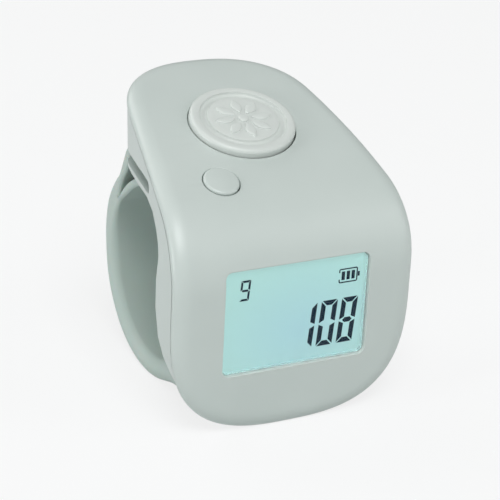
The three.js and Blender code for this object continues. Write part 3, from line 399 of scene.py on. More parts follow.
# %% [markdown]
# ## Finishes of the inner pieces
#
# Most of these are hidden while the counter is whole, but someone who opens the model sees them: green
# solder mask on glass fibre boards, amber polyimide cable, black epoxy of the chip, nickel plated
# steel of the cell, screws and socket, foam, fired ceramic and wire sleeves. They share a plan: a
# colour that drifts between two tones, a roughness and a small bump, each at its own real scale.


# %% A shared plan for the inner pieces
def inner_finish(name, tone, other_tone, roughness, grain_mm, depth_mm, metal=0.0, ior=None):
    """A plain finish for an inner piece, made of two tones and a grain of the given size."""
    material, tree = start_material(name)
    grain = noise(tree, grain_mm, 3.0)
    bump = add_node(tree, "ShaderNodeBump", Distance=depth_mm * MM, Height=grain)
    surface = add_node(
        tree,
        "ShaderNodeBsdfPrincipled",
        Base_Color=two_tones(tree, grain, tone, other_tone),
        Roughness=roughness,
        Metallic=metal,
        Normal=bump.outputs["Normal"],
    )
    if ior:
        surface.inputs["IOR"].default_value = ior
    add_node(tree, "ShaderNodeOutputMaterial", Surface=surface.outputs["BSDF"])
    return material


# Solder mask is a glossy lacquer over the weave of the glass cloth, whose threads lie 0.4 mm apart.
board_mask = inner_finish("glass_fibre_board_solder_masked", 0x2B6347, 0x347052, 0.38, 0.4, 0.006, ior=1.5)
# Polyimide is an amber film that takes a soft gloss and shows the copper under it as lighter patches.
amber_film = inner_finish("polyimide_film_cast", 0xB97A2E, 0xD39A4A, 0.36, 0.8, 0.003, ior=1.6)
# Epoxy moulding compound is black, dull and slightly gritty.
chip_epoxy = inner_finish("epoxy_chip_moulded", 0x1D1F22, 0x2A2C2F, 0.55, 0.12, 0.005, ior=1.55)
# Nickel plating over pressed steel is bright with a faint cloud from the rolling.
plated_steel = inner_finish("steel_nickel_plated", 0xC9CBCB, 0xB9BCBD, 0.26, 0.6, 0.001, metal=1.0)
# Barium titanate ceramic is fired to an even tan.
fired_ceramic = inner_finish("ceramic_fired", 0xB4966E, 0xC0A680, 0.6, 0.15, 0.003)
# Closed-cell foam is dead matte with bubbles of about 0.15 mm.
panel_foam = inner_finish("foam_closed_cell_grey", 0x5C6664, 0x6C7674, 0.92, 0.15, 0.03)
# Carbon-filled and plain rubber layers of the contact strip.
strip_rubber = inner_finish("rubber_contact_strip_layered", 0x3A3D3F, 0x54585A, 0.8, 0.3, 0.01, ior=1.43)
# Milky acrylic with printed dots that throw the light forward.
milky_acrylic = inner_finish("acrylic_light_guide_printed", 0xE6F2F0, 0xF4FAF9, 0.3, 0.35, 0.002, ior=1.49)
# A white lamp body whose phosphor makes it look pale yellow when off.
lamp_body = inner_finish("led_phosphor_cast", 0xF1ECC6, 0xF7F4DC, 0.35, 0.2, 0.002, ior=1.5)
# Black nylon of the switch bodies and the socket's tongue.
black_nylon = inner_finish("nylon_black_moulded", 0x1B1B1D, 0x262628, 0.5, 0.2, 0.004, ior=1.53)
# Sleeves of the cell's two leads.
red_sleeve = inner_finish("wire_sleeve_red_extruded", 0xA92C26, 0xBA3A30, 0.45, 0.5, 0.002, ior=1.54)
black_sleeve = inner_finish("wire_sleeve_black_extruded", 0x1B1B1D, 0x29292B, 0.45, 0.5, 0.002, ior=1.54)
# The panel's two glass plates, seen at their edges.
panel_glass = inner_finish("display_glass_ground", 0x9FC4C2, 0xB3D3D0, 0.12, 0.7, 0.001, ior=1.52)
print("made", len(bpy.data.materials), "materials so far")

# %% Give every CAD node its finish
FINISHED_NODES = [
    (shell_plastic, "shell", "front_shell back_shell"),
    (band_rubber, "band", "finger_band"),
    (clear_acrylic, "lens", "display_lens"),
    (panel_foam, "foam", "display_gasket"),
    (panel_glass, "display", "lcd_panel"),
    (milky_acrylic, "diffuser", "light_guide"),
    (lamp_body, "led", "backlight_led_left backlight_led_right"),
    (strip_rubber, "elastomer", "contact_strip"),
    (board_mask, "board", "display_board key_board charge_board"),
    (chip_epoxy, "chip", "controller_chip"),
    (fired_ceramic, "ceramic", "capacitor_upper capacitor_lower"),
    (amber_film, "flex", "board_flex charge_flex"),
    (button_plastic, "button", "count_button"),
    (shell_plastic, "button", "reset_button"),
    (black_nylon, "black", "count_switch_case count_switch_plunger reset_switch_case reset_switch_plunger"),
    (black_nylon, "black", "charge_tongue"),
    (red_sleeve, "red", "battery_lead_red"),
    (black_sleeve, "black", "battery_lead_black"),
    (plated_steel, "steel", "crystal battery_cell charge_socket"),
    (plated_steel, "steel", "screw_low_left screw_low_right screw_rear_left screw_rear_right"),
]
NODE_FINISH = {name: (finish, slot) for finish, slot, names in FINISHED_NODES for name in names.split()}
for name, node in nodes.items():
    finish, _ = NODE_FINISH[name]
    if not node.material_slots:
        node.data.materials.append(finish)
    for place in node.material_slots:
        place.material = finish
print("nodes with a finish:", len(nodes))

# %% [markdown]
# ## Building from rings
#
# Nearly every piece here is a stack of loops: a window frame, a petal, a band with rounded edges. The
# mesh could be typed out by hand, but Blender's own operators are safer: a circle with as many corners
# as the loop is moved onto the first loop, its edges are extruded, and the new edges are moved onto the
# next. A flat fill closes an end, and it copes with hollow corners too.


# %% Helpers for rings
def loop_edges(bm, verts):
    """The edges that join a closed row of corners."""
    return [bm.edges.get((verts[i - 1], verts[i])) for i in range(len(verts))]


def extrude_loop(bm, verts, places):
    """Extrudes a closed row of corners and moves the new row onto the given places."""
    made = bmesh.ops.extrude_edge_only(bm, edges=loop_edges(bm, verts))["geom"]
    fresh = {item for item in made if isinstance(item, bmesh.types.BMVert)}
    row = []
    for vert, place in zip(verts, places):
        partner = next(e.other_vert(vert) for e in vert.link_edges if e.other_vert(vert) in fresh)
        partner.co = place
        row.append(partner)
    return row


def start_loop(bm, places):
    """A circle with as many corners as there are places, moved onto them."""
    verts = bmesh.ops.create_circle(bm, segments=len(places), radius=1)["verts"]
    for vert, place in zip(verts, places):
        vert.co = place
    return verts


def stack_loops(bm, loops, fill_first=True, fill_last=True):
    """A wall from loop to loop, closed at its ends if wanted. Returns the last row of corners."""
    first = row = start_loop(bm, loops[0])
    for places in loops[1:]:
        row = extrude_loop(bm, row, places)
    if fill_first:
        bmesh.ops.triangle_fill(bm, edges=loop_edges(bm, first), use_beauty=True)
    if fill_last:
        bmesh.ops.triangle_fill(bm, edges=loop_edges(bm, row), use_beauty=True)
    return row


def outward(loop):
    """The outward direction at each corner of a flat loop that runs anticlockwise."""
    directions = []
    for i, _ in enumerate(loop):
        along = loop[(i + 1) % len(loop)] - loop[i - 1]
        directions.append(Vector((along.y, -along.x)).normalized())
    return directions


def rounded_rectangle(width, height, corner, steps=6):
    """A flat loop with round corners about the origin, anticlockwise."""
    loop = []
    for quarter, (side_x, side_y) in enumerate([(1, 1), (-1, 1), (-1, -1), (1, -1)]):
        centre = Vector((side_x * (width / 2 - corner), side_y * (height / 2 - corner)))
        for i in range(steps + 1):
            angle = (quarter + i / steps) * math.pi / 2
            loop.append(centre + corner * Vector((math.cos(angle), math.sin(angle))))
    return loop


print("a rounded rectangle has", len(rounded_rectangle(2, 1, 0.2)), "corners")

# %% [markdown]
# ## From mesh to piece
#
# The pieces are drawn in millimetres with the display's plane at zero depth. One function turns a
# finished mesh to metres, shifts it to where the frame has it, and hands it to the body that carries
# it. Sharp edges stay sharp and the rest is smoothed, and normals weighted by face area keep flat
# faces flat beside small roundings.

# %% Helper that finishes a piece
FRONT_PLANE = -15.0


def make_piece(name, bm, material, body, stands_for=(), sharp=35, bevel_mm=0, flip=True):
    """Makes an object from a mesh drawn in millimetres, and hands it to its body."""
    if flip:
        bmesh.ops.recalc_face_normals(bm, faces=bm.faces)
    bmesh.ops.translate(bm, verts=bm.verts, vec=(0, FRONT_PLANE, 0))
    bmesh.ops.scale(bm, verts=bm.verts, vec=(MM, MM, MM))
    mesh = bpy.data.meshes.new(name)
    bm.to_mesh(mesh)
    bm.free()
    mesh.materials.append(material)
    mesh.shade_smooth()
    if not bevel_mm:
        mesh.set_sharp_from_angle(angle=math.radians(sharp))
    piece = bpy.data.objects.new(name, mesh)
    bpy.context.scene.collection.objects.link(piece)
    if bevel_mm:
        rounding = piece.modifiers.new("rounding", "BEVEL")
        rounding.width = bevel_mm * MM
        rounding.segments = 2
        rounding.limit_method = "ANGLE"
        rounding.angle_limit = math.radians(sharp)
        rounding.harden_normals = False
    level = piece.modifiers.new("level_normals", "WEIGHTED_NORMAL")
    level.keep_sharp = True
    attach(piece, body)
    if stands_for:
        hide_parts(*stands_for)
    print(name, "has", len(mesh.polygons), "faces")
    return piece


# %% [markdown]
# ## The skin
#
# The housing is a thin box that is bent over the knuckle: an upright front, a tight bend, and a long
# top with a slow crown. The bent shape could be modelled directly, but the outline, the window and the
# button holes are simple only while the skin lies flat. So the front shell is modelled flat, cut into
# narrow strips, and then every corner is moved from the flat skin to the bent one.

# %% Sizes of the skin
FRONT_RUN = 16.94
BEND_RADIUS = 10.02
BEND_ANGLE = math.radians(64.05)
CROWN_RADIUS = 115.0
SKIN_RUN = 51.88
BEND_END = FRONT_RUN + BEND_RADIUS * BEND_ANGLE
HALF_WIDTH = 14.5
LOW_END_RUN, LOW_END_POWER = 13.74, 2.81
REAR_END_RUN, REAR_END_POWER = 8.3, 2.49
WAIST_START, WAIST_DRAW, WAIST_POWER = 19.8, 4.88, 1.5
UPRIGHT_RUN = 6.0
print("the bend ends", round(BEND_END, 2), "mm along the skin")


# %% The bent skin
def skin(run):
    """The depth and height of a place on the skin, and how far the skin has turned there."""
    if run <= FRONT_RUN:
        return 0.0, run, 0.0
    if run <= BEND_END:
        angle = (run - FRONT_RUN) / BEND_RADIUS
        return BEND_RADIUS * (1 - math.cos(angle)), FRONT_RUN + BEND_RADIUS * math.sin(angle), angle
    depth, height, _ = skin(BEND_END)
    angle = BEND_ANGLE + (run - BEND_END) / CROWN_RADIUS
    depth += CROWN_RADIUS * (math.cos(BEND_ANGLE) - math.cos(angle))
    height += CROWN_RADIUS * (math.sin(angle) - math.sin(BEND_ANGLE))
    return depth, height, angle


def on_skin(x, run, under):
    """A point under the skin. Past the bend the side walls turn upright."""
    depth, height, angle = skin(run)
    along = min(max((run - BEND_END + 1) / (UPRIGHT_RUN + 1), 0), 1)
    lean = min(angle, BEND_ANGLE) + (math.pi / 2 - BEND_ANGLE) * along * along * (3 - 2 * along)
    return Vector((x, depth + under * math.cos(lean), height - under * math.sin(lean)))


def skin_frame(x, run):
    """A frame on the skin whose Z axis points out of it."""
    depth, height, angle = skin(run)
    return Matrix.Translation((x, depth, height)) @ Matrix.Rotation(math.pi / 2 - angle, 4, "X")


print("top of the skin at", round(skin(SKIN_RUN)[1], 2), "mm")


# %% Outline of the flat skin
def half_width(run):
    """Half the skin's width, without its rounded ends."""
    drawn = max((run - WAIST_START) / (SKIN_RUN - WAIST_START), 0)
    return HALF_WIDTH - WAIST_DRAW * drawn**WAIST_POWER


def skin_outline(low_steps=44, side_steps=20, rear_steps=40):
    """The flat outline, anticlockwise from the middle of the bottom end."""
    right = []
    for i in range(low_steps):
        angle = i / low_steps * math.pi / 2
        right.append(
            Vector(
                (
                    HALF_WIDTH * math.sin(angle) ** (2 / LOW_END_POWER),
                    LOW_END_RUN * (1 - math.cos(angle) ** (2 / LOW_END_POWER)),
                )
            )
        )
    for i in range(side_steps):
        run = LOW_END_RUN + i / side_steps * (SKIN_RUN - REAR_END_RUN - LOW_END_RUN)
        right.append(Vector((half_width(run), run)))
    for i in range(rear_steps + 1):
        angle = i / rear_steps * math.pi / 2
        run = SKIN_RUN - REAR_END_RUN * (1 - math.sin(angle) ** (2 / REAR_END_POWER))
        right.append(Vector((half_width(run) * max(math.cos(angle), 0) ** (2 / REAR_END_POWER), run)))
    left = [Vector((-place.x, place.y)) for place in reversed(right[1:-1])]
    return right + left


outline = skin_outline()
outline_out = outward(outline)
print("the outline has", len(outline), "corners")

# %% [markdown]
# ## The front shell
#
# The front shell is the thin outer skin: its edge is rounded over into a short side wall that ends at
# the parting line. It could be a bevelled slab, but its rounding has to stay even round the squarish
# ends, so the rounding is drawn as a stack of loops that step outwards. The window and the two button
# holes get a small rounded lip, as a mould gives them.

# %% Sizes of the front shell
RIM_REACH, RIM_DEPTH = 2.0, 0.95
RIM_END = 1.2
SHELL_WALL = 1.1
SKIN_THICKNESS = 0.9
LIP_RADIUS = 0.1
WINDOW_WIDTH, WINDOW_HEIGHT, WINDOW_MIDDLE, WINDOW_CORNER = 17.5, 12.05, 13.06, 0.8
COUNT_RUN, COUNT_RADIUS, COUNT_SQUEEZE = 38.25, 6.1, 0.93
RESET_X, RESET_RUN, RESET_RADIUS = -6.24, 29.8, 2.0
COUNT_GAP, RESET_GAP = 0.14, 0.12
STRIP = 0.35


# %% Holes of the front shell, laid out flat
def round_hole(x, run, radius, steps, squeeze=1.0):
    """A flat round loop, anticlockwise, squeezed along the skin if wanted."""
    turns = [i / steps * 2 * math.pi for i in range(steps)]
    return [Vector((x + radius * math.cos(a), run + squeeze * radius * math.sin(a))) for a in turns]


window_corner_top = FRONT_RUN + BEND_RADIUS * math.asin(
    (WINDOW_MIDDLE + WINDOW_HEIGHT / 2 - FRONT_RUN) / BEND_RADIUS
)
window_low = WINDOW_MIDDLE - WINDOW_HEIGHT / 2
window_run = (window_corner_top + window_low) / 2
window_loop = [
    place + Vector((0, window_run))
    for place in rounded_rectangle(WINDOW_WIDTH, window_corner_top - window_low, WINDOW_CORNER)
]
holes = [
    window_loop,
    round_hole(0, COUNT_RUN, COUNT_RADIUS + COUNT_GAP, 96, COUNT_SQUEEZE),
    round_hole(RESET_X, RESET_RUN, RESET_RADIUS + RESET_GAP, 48),
]
print("the window reaches", round(window_corner_top, 2), "mm along the skin")


# %% Flat front shell
def rounding(radius, steps):
    """Pairs of (how far inside the edge, how deep) along a quarter round."""
    turns = [i / steps * math.pi / 2 for i in range(steps + 1)]
    return [(radius * (1 - math.sin(a)), radius * (1 - math.cos(a))) for a in turns]


shell = bmesh.new()
outer_rows = []
edge_steps = [(RIM_REACH * inside, RIM_DEPTH * deep) for inside, deep in rounding(1, 12)]
edge_steps += [(0, RIM_END - 0.05), (0.05, RIM_END), (SHELL_WALL, RIM_END), (SHELL_WALL, SKIN_THICKNESS)]
row = None
for inside, deep in edge_steps:
    places = [Vector((*(p - d * inside), -deep)) for p, d in zip(outline, outline_out)]
    row = start_loop(shell, places) if row is None else extrude_loop(shell, row, places)
    outer_rows.append(row)

top_edges = loop_edges(shell, outer_rows[0])
under_edges = loop_edges(shell, outer_rows[-1])
for hole in holes:
    hole_out = outward(hole)
    rows = []
    row = None
    for inside, deep in rounding(LIP_RADIUS, 3) + [(0, SKIN_THICKNESS)]:
        places = [Vector((*(p + d * inside), -deep)) for p, d in zip(hole, hole_out)]
        row = start_loop(shell, places) if row is None else extrude_loop(shell, row, places)
        rows.append(row)
    top_edges += loop_edges(shell, rows[0])
    under_edges += loop_edges(shell, rows[-1])
bmesh.ops.triangle_fill(shell, edges=top_edges, use_beauty=True)
bmesh.ops.triangle_fill(shell, edges=under_edges, use_beauty=True)
bmesh.ops.recalc_face_normals(shell, faces=shell.faces)
print("flat front shell:", len(shell.faces), "faces")

# %% Strips, then the bend
run = FRONT_RUN
while run < SKIN_RUN:
    bmesh.ops.bisect_plane(
        shell,
        geom=shell.verts[:] + shell.edges[:] + shell.faces[:],
        dist=1e-5,
        plane_co=(0, run, 0),
        plane_no=(0, 1, 0),
    )
    run += STRIP if run < BEND_END + 1 else 2 * STRIP

for vert in shell.verts:
    x, run, under = vert.co.x, vert.co.y, -vert.co.z
    behind_window = abs(x) < WINDOW_WIDTH / 2 + 1e-3 and window_low - 1e-3 < run < window_corner_top + 1e-3
    if behind_window and under > LIP_RADIUS + 1e-3:
        rim = on_skin(x, run, 0)
        vert.co = rim + Vector((0, under, 0))
    else:
        vert.co = on_skin(x, run, under)
    vert.co.z = min(vert.co.z, cad_high[2] / MM)

make_piece(
    "front_shell_moulding", shell, shell_plastic, "housing", ["front_shell"], sharp=50, flip=False
)

# %% [markdown]
# ## Copies of CAD pieces
#
# Some CAD pieces already have the right form and only lack the small rounding that every moulded or
# pressed edge has. A CAD mesh is loose triangles, so a copy is merged, its flat triangles are joined
# back into whole faces, and a Bevel modifier rounds the sharp edges.


# %% Helper that copies a CAD piece
def dressed_copy(node_name, name, bevel_mm, sharp=35):
    """A merged copy of a CAD node with rounded edges, in the node's place and on its body."""
    finish, slot = NODE_FINISH[node_name]
    bm = bmesh.new()
    bm.from_mesh(nodes[node_name].data)
    bmesh.ops.remove_doubles(bm, verts=bm.verts, dist=2e-6)
    bmesh.ops.dissolve_limit(bm, angle_limit=math.radians(0.5), verts=bm.verts, edges=bm.edges)
    bmesh.ops.scale(bm, verts=bm.verts, vec=(1 / MM, 1 / MM, 1 / MM))
    bmesh.ops.translate(bm, verts=bm.verts, vec=(0, -FRONT_PLANE, 0))
    body = nodes[node_name]["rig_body"]
    return make_piece(name, bm, finish, body, [node_name], sharp=sharp, bevel_mm=bevel_mm, flip=False)


dressed_copy("back_shell", "back_shell_moulding", 0.1)

# %% [markdown]
# ## The finger band
#
# The band is one strip of silicone. It leaves the housing under the display, goes round the finger, and
# forks behind the roof plate: one leg lies under the plate and the other hooks over it into the slot.
# Its side view is one outline, so it is drawn as that outline and made wide, with its edges rounded by
# loops that step inwards. The legs are thinner than the strip, so their rounding is smaller, and every
# free end is a half round.

# %% Sizes of the band
RING_Y, RING_Z = 17.6, 12.25
BORE_RADIUS = 10.0
BAND_THICKNESS = 2.4
BAND_WIDTH = 19.6
BAND_EDGE = 1.15
LEG_THICKNESS, LEG_TOP, LEG_END_Y = 1.05, 25.775, 20.75
LEG_UNDER = LEG_TOP - LEG_THICKNESS
INNER_LEG_IN, INNER_LEG_OUT = 9.7, 10.6
# Places of the fork, as (depth, height), and turns past the fork in radians.
FORK_CORNER = (26.2, 18.45)
OUTER_LEG_RISE = [(25.2, 23.0), (24.6, 24.3), (24.2, 25.1), (23.6, 25.6), (22.9, LEG_TOP), (LEG_END_Y, LEG_TOP)]
OUTER_LEG_UNDER = [(25.56, 20.32), (24.61, 21.79), (23.7, 23.0), (23.2, 23.9), (23.12, 24.4)]
OUTER_LEG_UNDER += [(22.8, LEG_UNDER), (LEG_END_Y, LEG_UNDER)]
OUTER_LEG_KEEPS, INNER_LEG_PARTS = 0.22, 0.12
INNER_LEG_BENDS, INNER_LEG_CLOSES = 0.05, 0.3
LOWER_SWAY = [(7.6, 2.68), (8.8, 2.76), (10.4, 2.66), (11.8, 2.36), (13.1, 1.94)]
LEG_EDGE = 0.4
TAPER_RUN = 6.0  # over which the strip's rounding shrinks to the legs'
BAND_LEAVES = math.radians(254)
FORK_ANGLE = math.radians(35)
CAD_LEAVES = math.radians(263)
INNER_LEG_END, INNER_LEG_RISE = math.radians(77.5), 0.38
BAND_START_Y = 5.4
RING_OUTER = BORE_RADIUS + BAND_THICKNESS
LOWER_SLOPE = math.tan(1.5 * math.pi - CAD_LEAVES)


# %% Side outline of the band
def arc(radius, start, stop, steps, growth=0.0):
    """Points of an arc round the finger, as (depth, height), whose radius may grow on the way."""
    points = []
    for i in range(steps + 1):
        turn = start + (stop - start) * i / steps
        reach = radius + growth * i / steps
        points.append(Vector((RING_Y + reach * math.cos(turn), RING_Z + reach * math.sin(turn))))
    return points


def soften(points, times):
    """Cuts the corners of an open row of points."""
    for _ in range(times):
        cut = [points[0]]
        for a, b in zip(points, points[1:]):
            cut += [a.lerp(b, 0.25), a.lerp(b, 0.75)]
        points = cut + [points[-1]]
    return points


def beside(points, distance):
    """An open row of points moved sideways to its left."""
    moved = []
    for i, here in enumerate(points):
        along = points[min(i + 1, len(points) - 1)] - points[max(i - 1, 0)]
        moved.append(here + distance * Vector((-along.y, along.x)).normalized())
    return moved


def round_end(points_left, points_right, steps):
    """The half round that joins the ends of two rows of points."""
    a, b = points_left[-1], points_right[-1]
    centre, reach = (a + b) / 2, (a - b) / 2
    side = Vector((-reach.y, reach.x))
    turns = [math.pi * i / steps for i in range(1, steps)]
    return [centre + reach * math.cos(t) + side * math.sin(t) for t in turns]


fork = 2 * math.pi + FORK_ANGLE
inner_end = 2 * math.pi + INNER_LEG_END
outer_leg_outside = arc(RING_OUTER, fork, fork + OUTER_LEG_KEEPS, 3) + [Vector(point) for point in OUTER_LEG_RISE]
outer_leg_outside = soften(outer_leg_outside, 2)
outer_leg_back = soften([Vector(point) for point in [FORK_CORNER] + OUTER_LEG_UNDER], 2)
inner_leg_out = [Vector(FORK_CORNER)]
inner_leg_out += arc(INNER_LEG_OUT, fork + INNER_LEG_PARTS, inner_end, 16, INNER_LEG_RISE)
inner_leg_in = arc(BORE_RADIUS, fork, fork + INNER_LEG_BENDS, 1)
inner_leg_in += arc(INNER_LEG_IN, fork + INNER_LEG_CLOSES, inner_end, 12, INNER_LEG_RISE)
inner_leg_in = soften(inner_leg_in, 2)

ring_middle = BORE_RADIUS + BAND_THICKNESS / 2
neck_line = Vector((math.cos(CAD_LEAVES), math.sin(CAD_LEAVES))) * ring_middle + Vector((RING_Y, RING_Z))


def lower_run(depth):
    """The middle of the neck at a depth behind the display's plane."""
    return Vector((depth, neck_line.y + (neck_line.x - depth) * LOWER_SLOPE))


# The strip leaves the housing level, then sinks into the ring in a gentle S.
lower_middle = [lower_run(BAND_START_Y + BAND_THICKNESS / 2)]
lower_middle += [Vector(point) for point in LOWER_SWAY]
lower_middle += arc(ring_middle, BAND_LEAVES, BAND_LEAVES, 1)[:1]
lower_middle = soften(lower_middle, 3)
outside = beside(lower_middle, -BAND_THICKNESS / 2) + arc(RING_OUTER, BAND_LEAVES, fork, 90)[1:]
outside += outer_leg_outside[1:]
inside_ring = arc(BORE_RADIUS, BAND_LEAVES, fork, 90)
lower_top = beside(lower_middle, BAND_THICKNESS / 2)

band_side = outside + round_end(outside, outer_leg_back, 6) + outer_leg_back[::-1]
band_side += inner_leg_out[1:] + round_end(inner_leg_out, inner_leg_in, 6) + inner_leg_in[::-1]
band_side += inside_ring[::-1][1:] + lower_top[::-1]
band_side += round_end(lower_top[:1], outside[:1], 12)
print("the band's side outline has", len(band_side), "corners")


# %% Wide band with rounded edges
def tidy_loop(points, gap):
    """Drops points that nearly touch the one before."""
    kept = [points[0]]
    for point in points[1:]:
        if (point - kept[-1]).length > gap:
            kept.append(point)
    if (kept[0] - kept[-1]).length <= gap:
        kept.pop()
    return kept


band_side = tidy_loop(band_side, 0.03)
band_out = outward(band_side)
fork_height = RING_Z + BORE_RADIUS * math.sin(FORK_ANGLE) - 0.6
leg_shares = [min(max((point.y - fork_height + TAPER_RUN) / TAPER_RUN, 0), 1) for point in band_side]
EDGE_STEPS = 6


def band_loop(turn, side):
    """One loop of the band's rounded edge: turn goes from 0 at the flat side to 90 degrees."""
    places = []
    for point, direction, share in zip(band_side, band_out, leg_shares):
        radius = BAND_EDGE + (LEG_EDGE - BAND_EDGE) * share
        inner = point - direction * radius * (1 - math.sin(turn))
        x = BAND_WIDTH / 2 - radius * (1 - math.cos(turn))
        places.append(Vector((side * x, inner.x, inner.y)))
    return places


turns = [math.pi / 2 * i / EDGE_STEPS for i in range(EDGE_STEPS + 1)]
band_loops = [band_loop(turn, -1) for turn in turns] + [band_loop(turn, 1) for turn in reversed(turns)]
band = bmesh.new()
stack_loops(band, band_loops)
for vert in band.verts:
    vert.co.z = max(vert.co.z, 0)
print("finger band:", len(band.faces), "faces")

# %% Neck and bead that hold the band in the housing
NECK_WIDTH, NECK_THICKNESS = 10.0, 1.2
BEAD_RADIUS, BEAD_Y = 1.15, 2.65
NECK_LAP, NECK_CHAMFER = 0.6, 0.15
bead = lower_run(BEAD_Y)
neck_turn = math.asin(NECK_THICKNESS / 2 / BEAD_RADIUS)
bead_steps = 20
neck_side = [
    bead + BEAD_RADIUS * Vector((math.cos(t), math.sin(t)))
    for t in [neck_turn + (2 * math.pi - 2 * neck_turn) * i / bead_steps for i in range(bead_steps + 1)]
]
neck_end = lower_run(BAND_START_Y + NECK_LAP)
neck_side += [neck_end + Vector((0, -NECK_THICKNESS / 2)), neck_end + Vector((0, NECK_THICKNESS / 2))]
neck_out = outward(neck_side)
neck_loops = []
for side, inside in [(-1, NECK_CHAMFER), (-1, 0.0), (1, 0.0), (1, NECK_CHAMFER)]:
    x = side * (NECK_WIDTH / 2 - (NECK_CHAMFER if inside == 0 else 0))
    neck_loops.append([Vector((x, p.x - d.x * inside, p.y - d.y * inside)) for p, d in zip(neck_side, neck_out)])
stack_loops(band, neck_loops)
for vert in band.verts:
    vert.co.z = max(vert.co.z, 0)
make_piece("finger_band_moulding", band, band_rubber, "housing", ["finger_band"], sharp=50)

# %% [markdown]
# ## The display
#
# A clear window stands 0.3 mm behind the front and the panel lies right behind it, so the lit picture
# fills the opening. The panel could show its picture as a texture, but no image is used here: the
# figures are thin plates whose ends are cut on the mitre, laid on the lit face the way the real segments
# are. They lean 5 degrees. The big number is the count, the small one stands for the set, and a battery
# mark made of bars fills the corner.

# %% Window pane
WINDOW_GAP = 0.15
PANE_FRONT, PANE_THICKNESS = 0.3, 0.58
PANEL_FRONT = 0.94


def front_loop(flat, depth):
    """A flat loop stood up behind the display's plane."""
    return [Vector((p.x, depth, p.y)) for p in flat]


pane_flat = rounded_rectangle(WINDOW_WIDTH - 2 * WINDOW_GAP, WINDOW_HEIGHT - 2 * WINDOW_GAP, WINDOW_CORNER - WINDOW_GAP)
pane_flat = [p + Vector((0, WINDOW_MIDDLE)) for p in pane_flat]
pane_out = outward(pane_flat)
pane = bmesh.new()
pane_loops = [
    front_loop([p - d * inside for p, d in zip(pane_flat, pane_out)], PANE_FRONT + deep)
    for inside, deep in [(0.06, 0), (0.02, 0.02), (0, 0.06), (0, PANE_THICKNESS)]
]
stack_loops(pane, pane_loops)
make_piece("window_pane", pane, clear_acrylic, "housing", ["display_lens"], sharp=50)

# %% Lit face
FACE_GAP = 0.05
FACE_THICKNESS = 0.03
face_flat = [
    p + Vector((0, WINDOW_MIDDLE))
    for p in rounded_rectangle(WINDOW_WIDTH - 2 * FACE_GAP, WINDOW_HEIGHT - 2 * FACE_GAP, WINDOW_CORNER)
]
face = bmesh.new()
stack_loops(face, [front_loop(face_flat, PANEL_FRONT - FACE_THICKNESS), front_loop(face_flat, PANEL_FRONT)])
make_piece("lit_panel_face", face, lit_face, "housing", sharp=30)

# %% Segments of a figure
SEGMENT_THICKNESS = 0.02
SEGMENT_Y = PANEL_FRONT - FACE_THICKNESS - SEGMENT_THICKNESS
SLANT = math.tan(math.radians(5))
SEGMENTS_OF = {"0": "abcdef", "1": "bc", "8": "abcdefg", "9": "abcdfg"}


def segment_bar(bm, start, end, thickness):
    """A bar with pointed ends: a six-cornered circle that is stretched between two places."""
    along = end - start
    length, direction = along.length, along.normalized()
    across = Vector((-direction.y, direction.x))
    half = thickness / 2
    corners = [(1, 0), (1, 1), (-1, 1), (-1, 0), (-1, -1), (1, -1)]
    flat = []
    for end_sign, side_sign in corners:
        reach = length / 2 - (half if side_sign else 0)
        flat.append((start + end) / 2 + direction * end_sign * reach + across * side_sign * half)
    stack_loops(bm, [front_loop(flat, SEGMENT_Y), front_loop(flat, SEGMENT_Y + SEGMENT_THICKNESS)])


def mirrored(corners, side_x, side_y):
    """A flat shape mirrored about the figure's middle, still anticlockwise."""
    flat = [(x * side_x, y * side_y) for x, y in corners]
    return flat if side_x * side_y > 0 else flat[::-1]


def figure(bm, digit, centre, width, height, thickness, gap):
    """A seven-segment figure about its centre, with mitred bars, leaning to the right."""
    x, y, t = width / 2, height / 2, thickness
    top = [(gap - x, y), (gap + t - x, y - t), (x - t - gap, y - t), (x - gap, y)]
    upright = [(x, gap), (x, y - gap), (x - t, y - t - gap), (x - t, t / 2 + gap)]
    inner, tip, half = x - t - gap, x - t / 2 - gap, t / 2
    middle = [(tip, 0), (inner, half), (-inner, half), (-tip, 0), (-inner, -half), (inner, -half)]
    shapes = {
        "a": top,
        "b": upright,
        "c": mirrored(upright, 1, -1),
        "d": mirrored(top, 1, -1),
        "e": mirrored(upright, -1, -1),
        "f": mirrored(upright, -1, 1),
        "g": middle,
    }
    for letter in SEGMENTS_OF[digit]:
        flat = [centre + Vector((across + up * SLANT, up)) for across, up in shapes[letter]]
        stack_loops(bm, [front_loop(flat, SEGMENT_Y), front_loop(flat, SEGMENT_Y + SEGMENT_THICKNESS)])


# %% The number, the small figure and the battery mark
PICTURE_SHIFT = Vector((0.2, -0.15))  # the panel lies deeper than the window's rim
BIG_FIGURE = (2.0, 5.35, 0.58, 0.1)  # width, height, bar, gap
SMALL_FIGURE = (1.15, 2.35, 0.24, 0.04)
COUNT_DIGITS, COUNT_DOWN = [("1", 0.582), ("0", 0.727), ("8", 0.872)], 0.648
SET_PLACE, MARK_PLACE = (0.139, 0.199), (0.859, 0.207)
MARK_WIDTH, MARK_HEIGHT, MARK_LINE, MARK_OPENING = 2.2, 1.55, 0.14, 0.36


def on_window(across, down):
    """A place on the panel where the camera sees it at a share of the window's width and height."""
    seen = Vector((WINDOW_WIDTH * (across - 0.5), WINDOW_MIDDLE + WINDOW_HEIGHT * (0.5 - down)))
    return seen + PICTURE_SHIFT


figures = bmesh.new()
for digit, across in COUNT_DIGITS:
    figure(figures, digit, on_window(across, COUNT_DOWN), *BIG_FIGURE)
figure(figures, "9", on_window(*SET_PLACE), *SMALL_FIGURE)
make_piece("display_figures", figures, dark_segment, "housing", sharp=30)

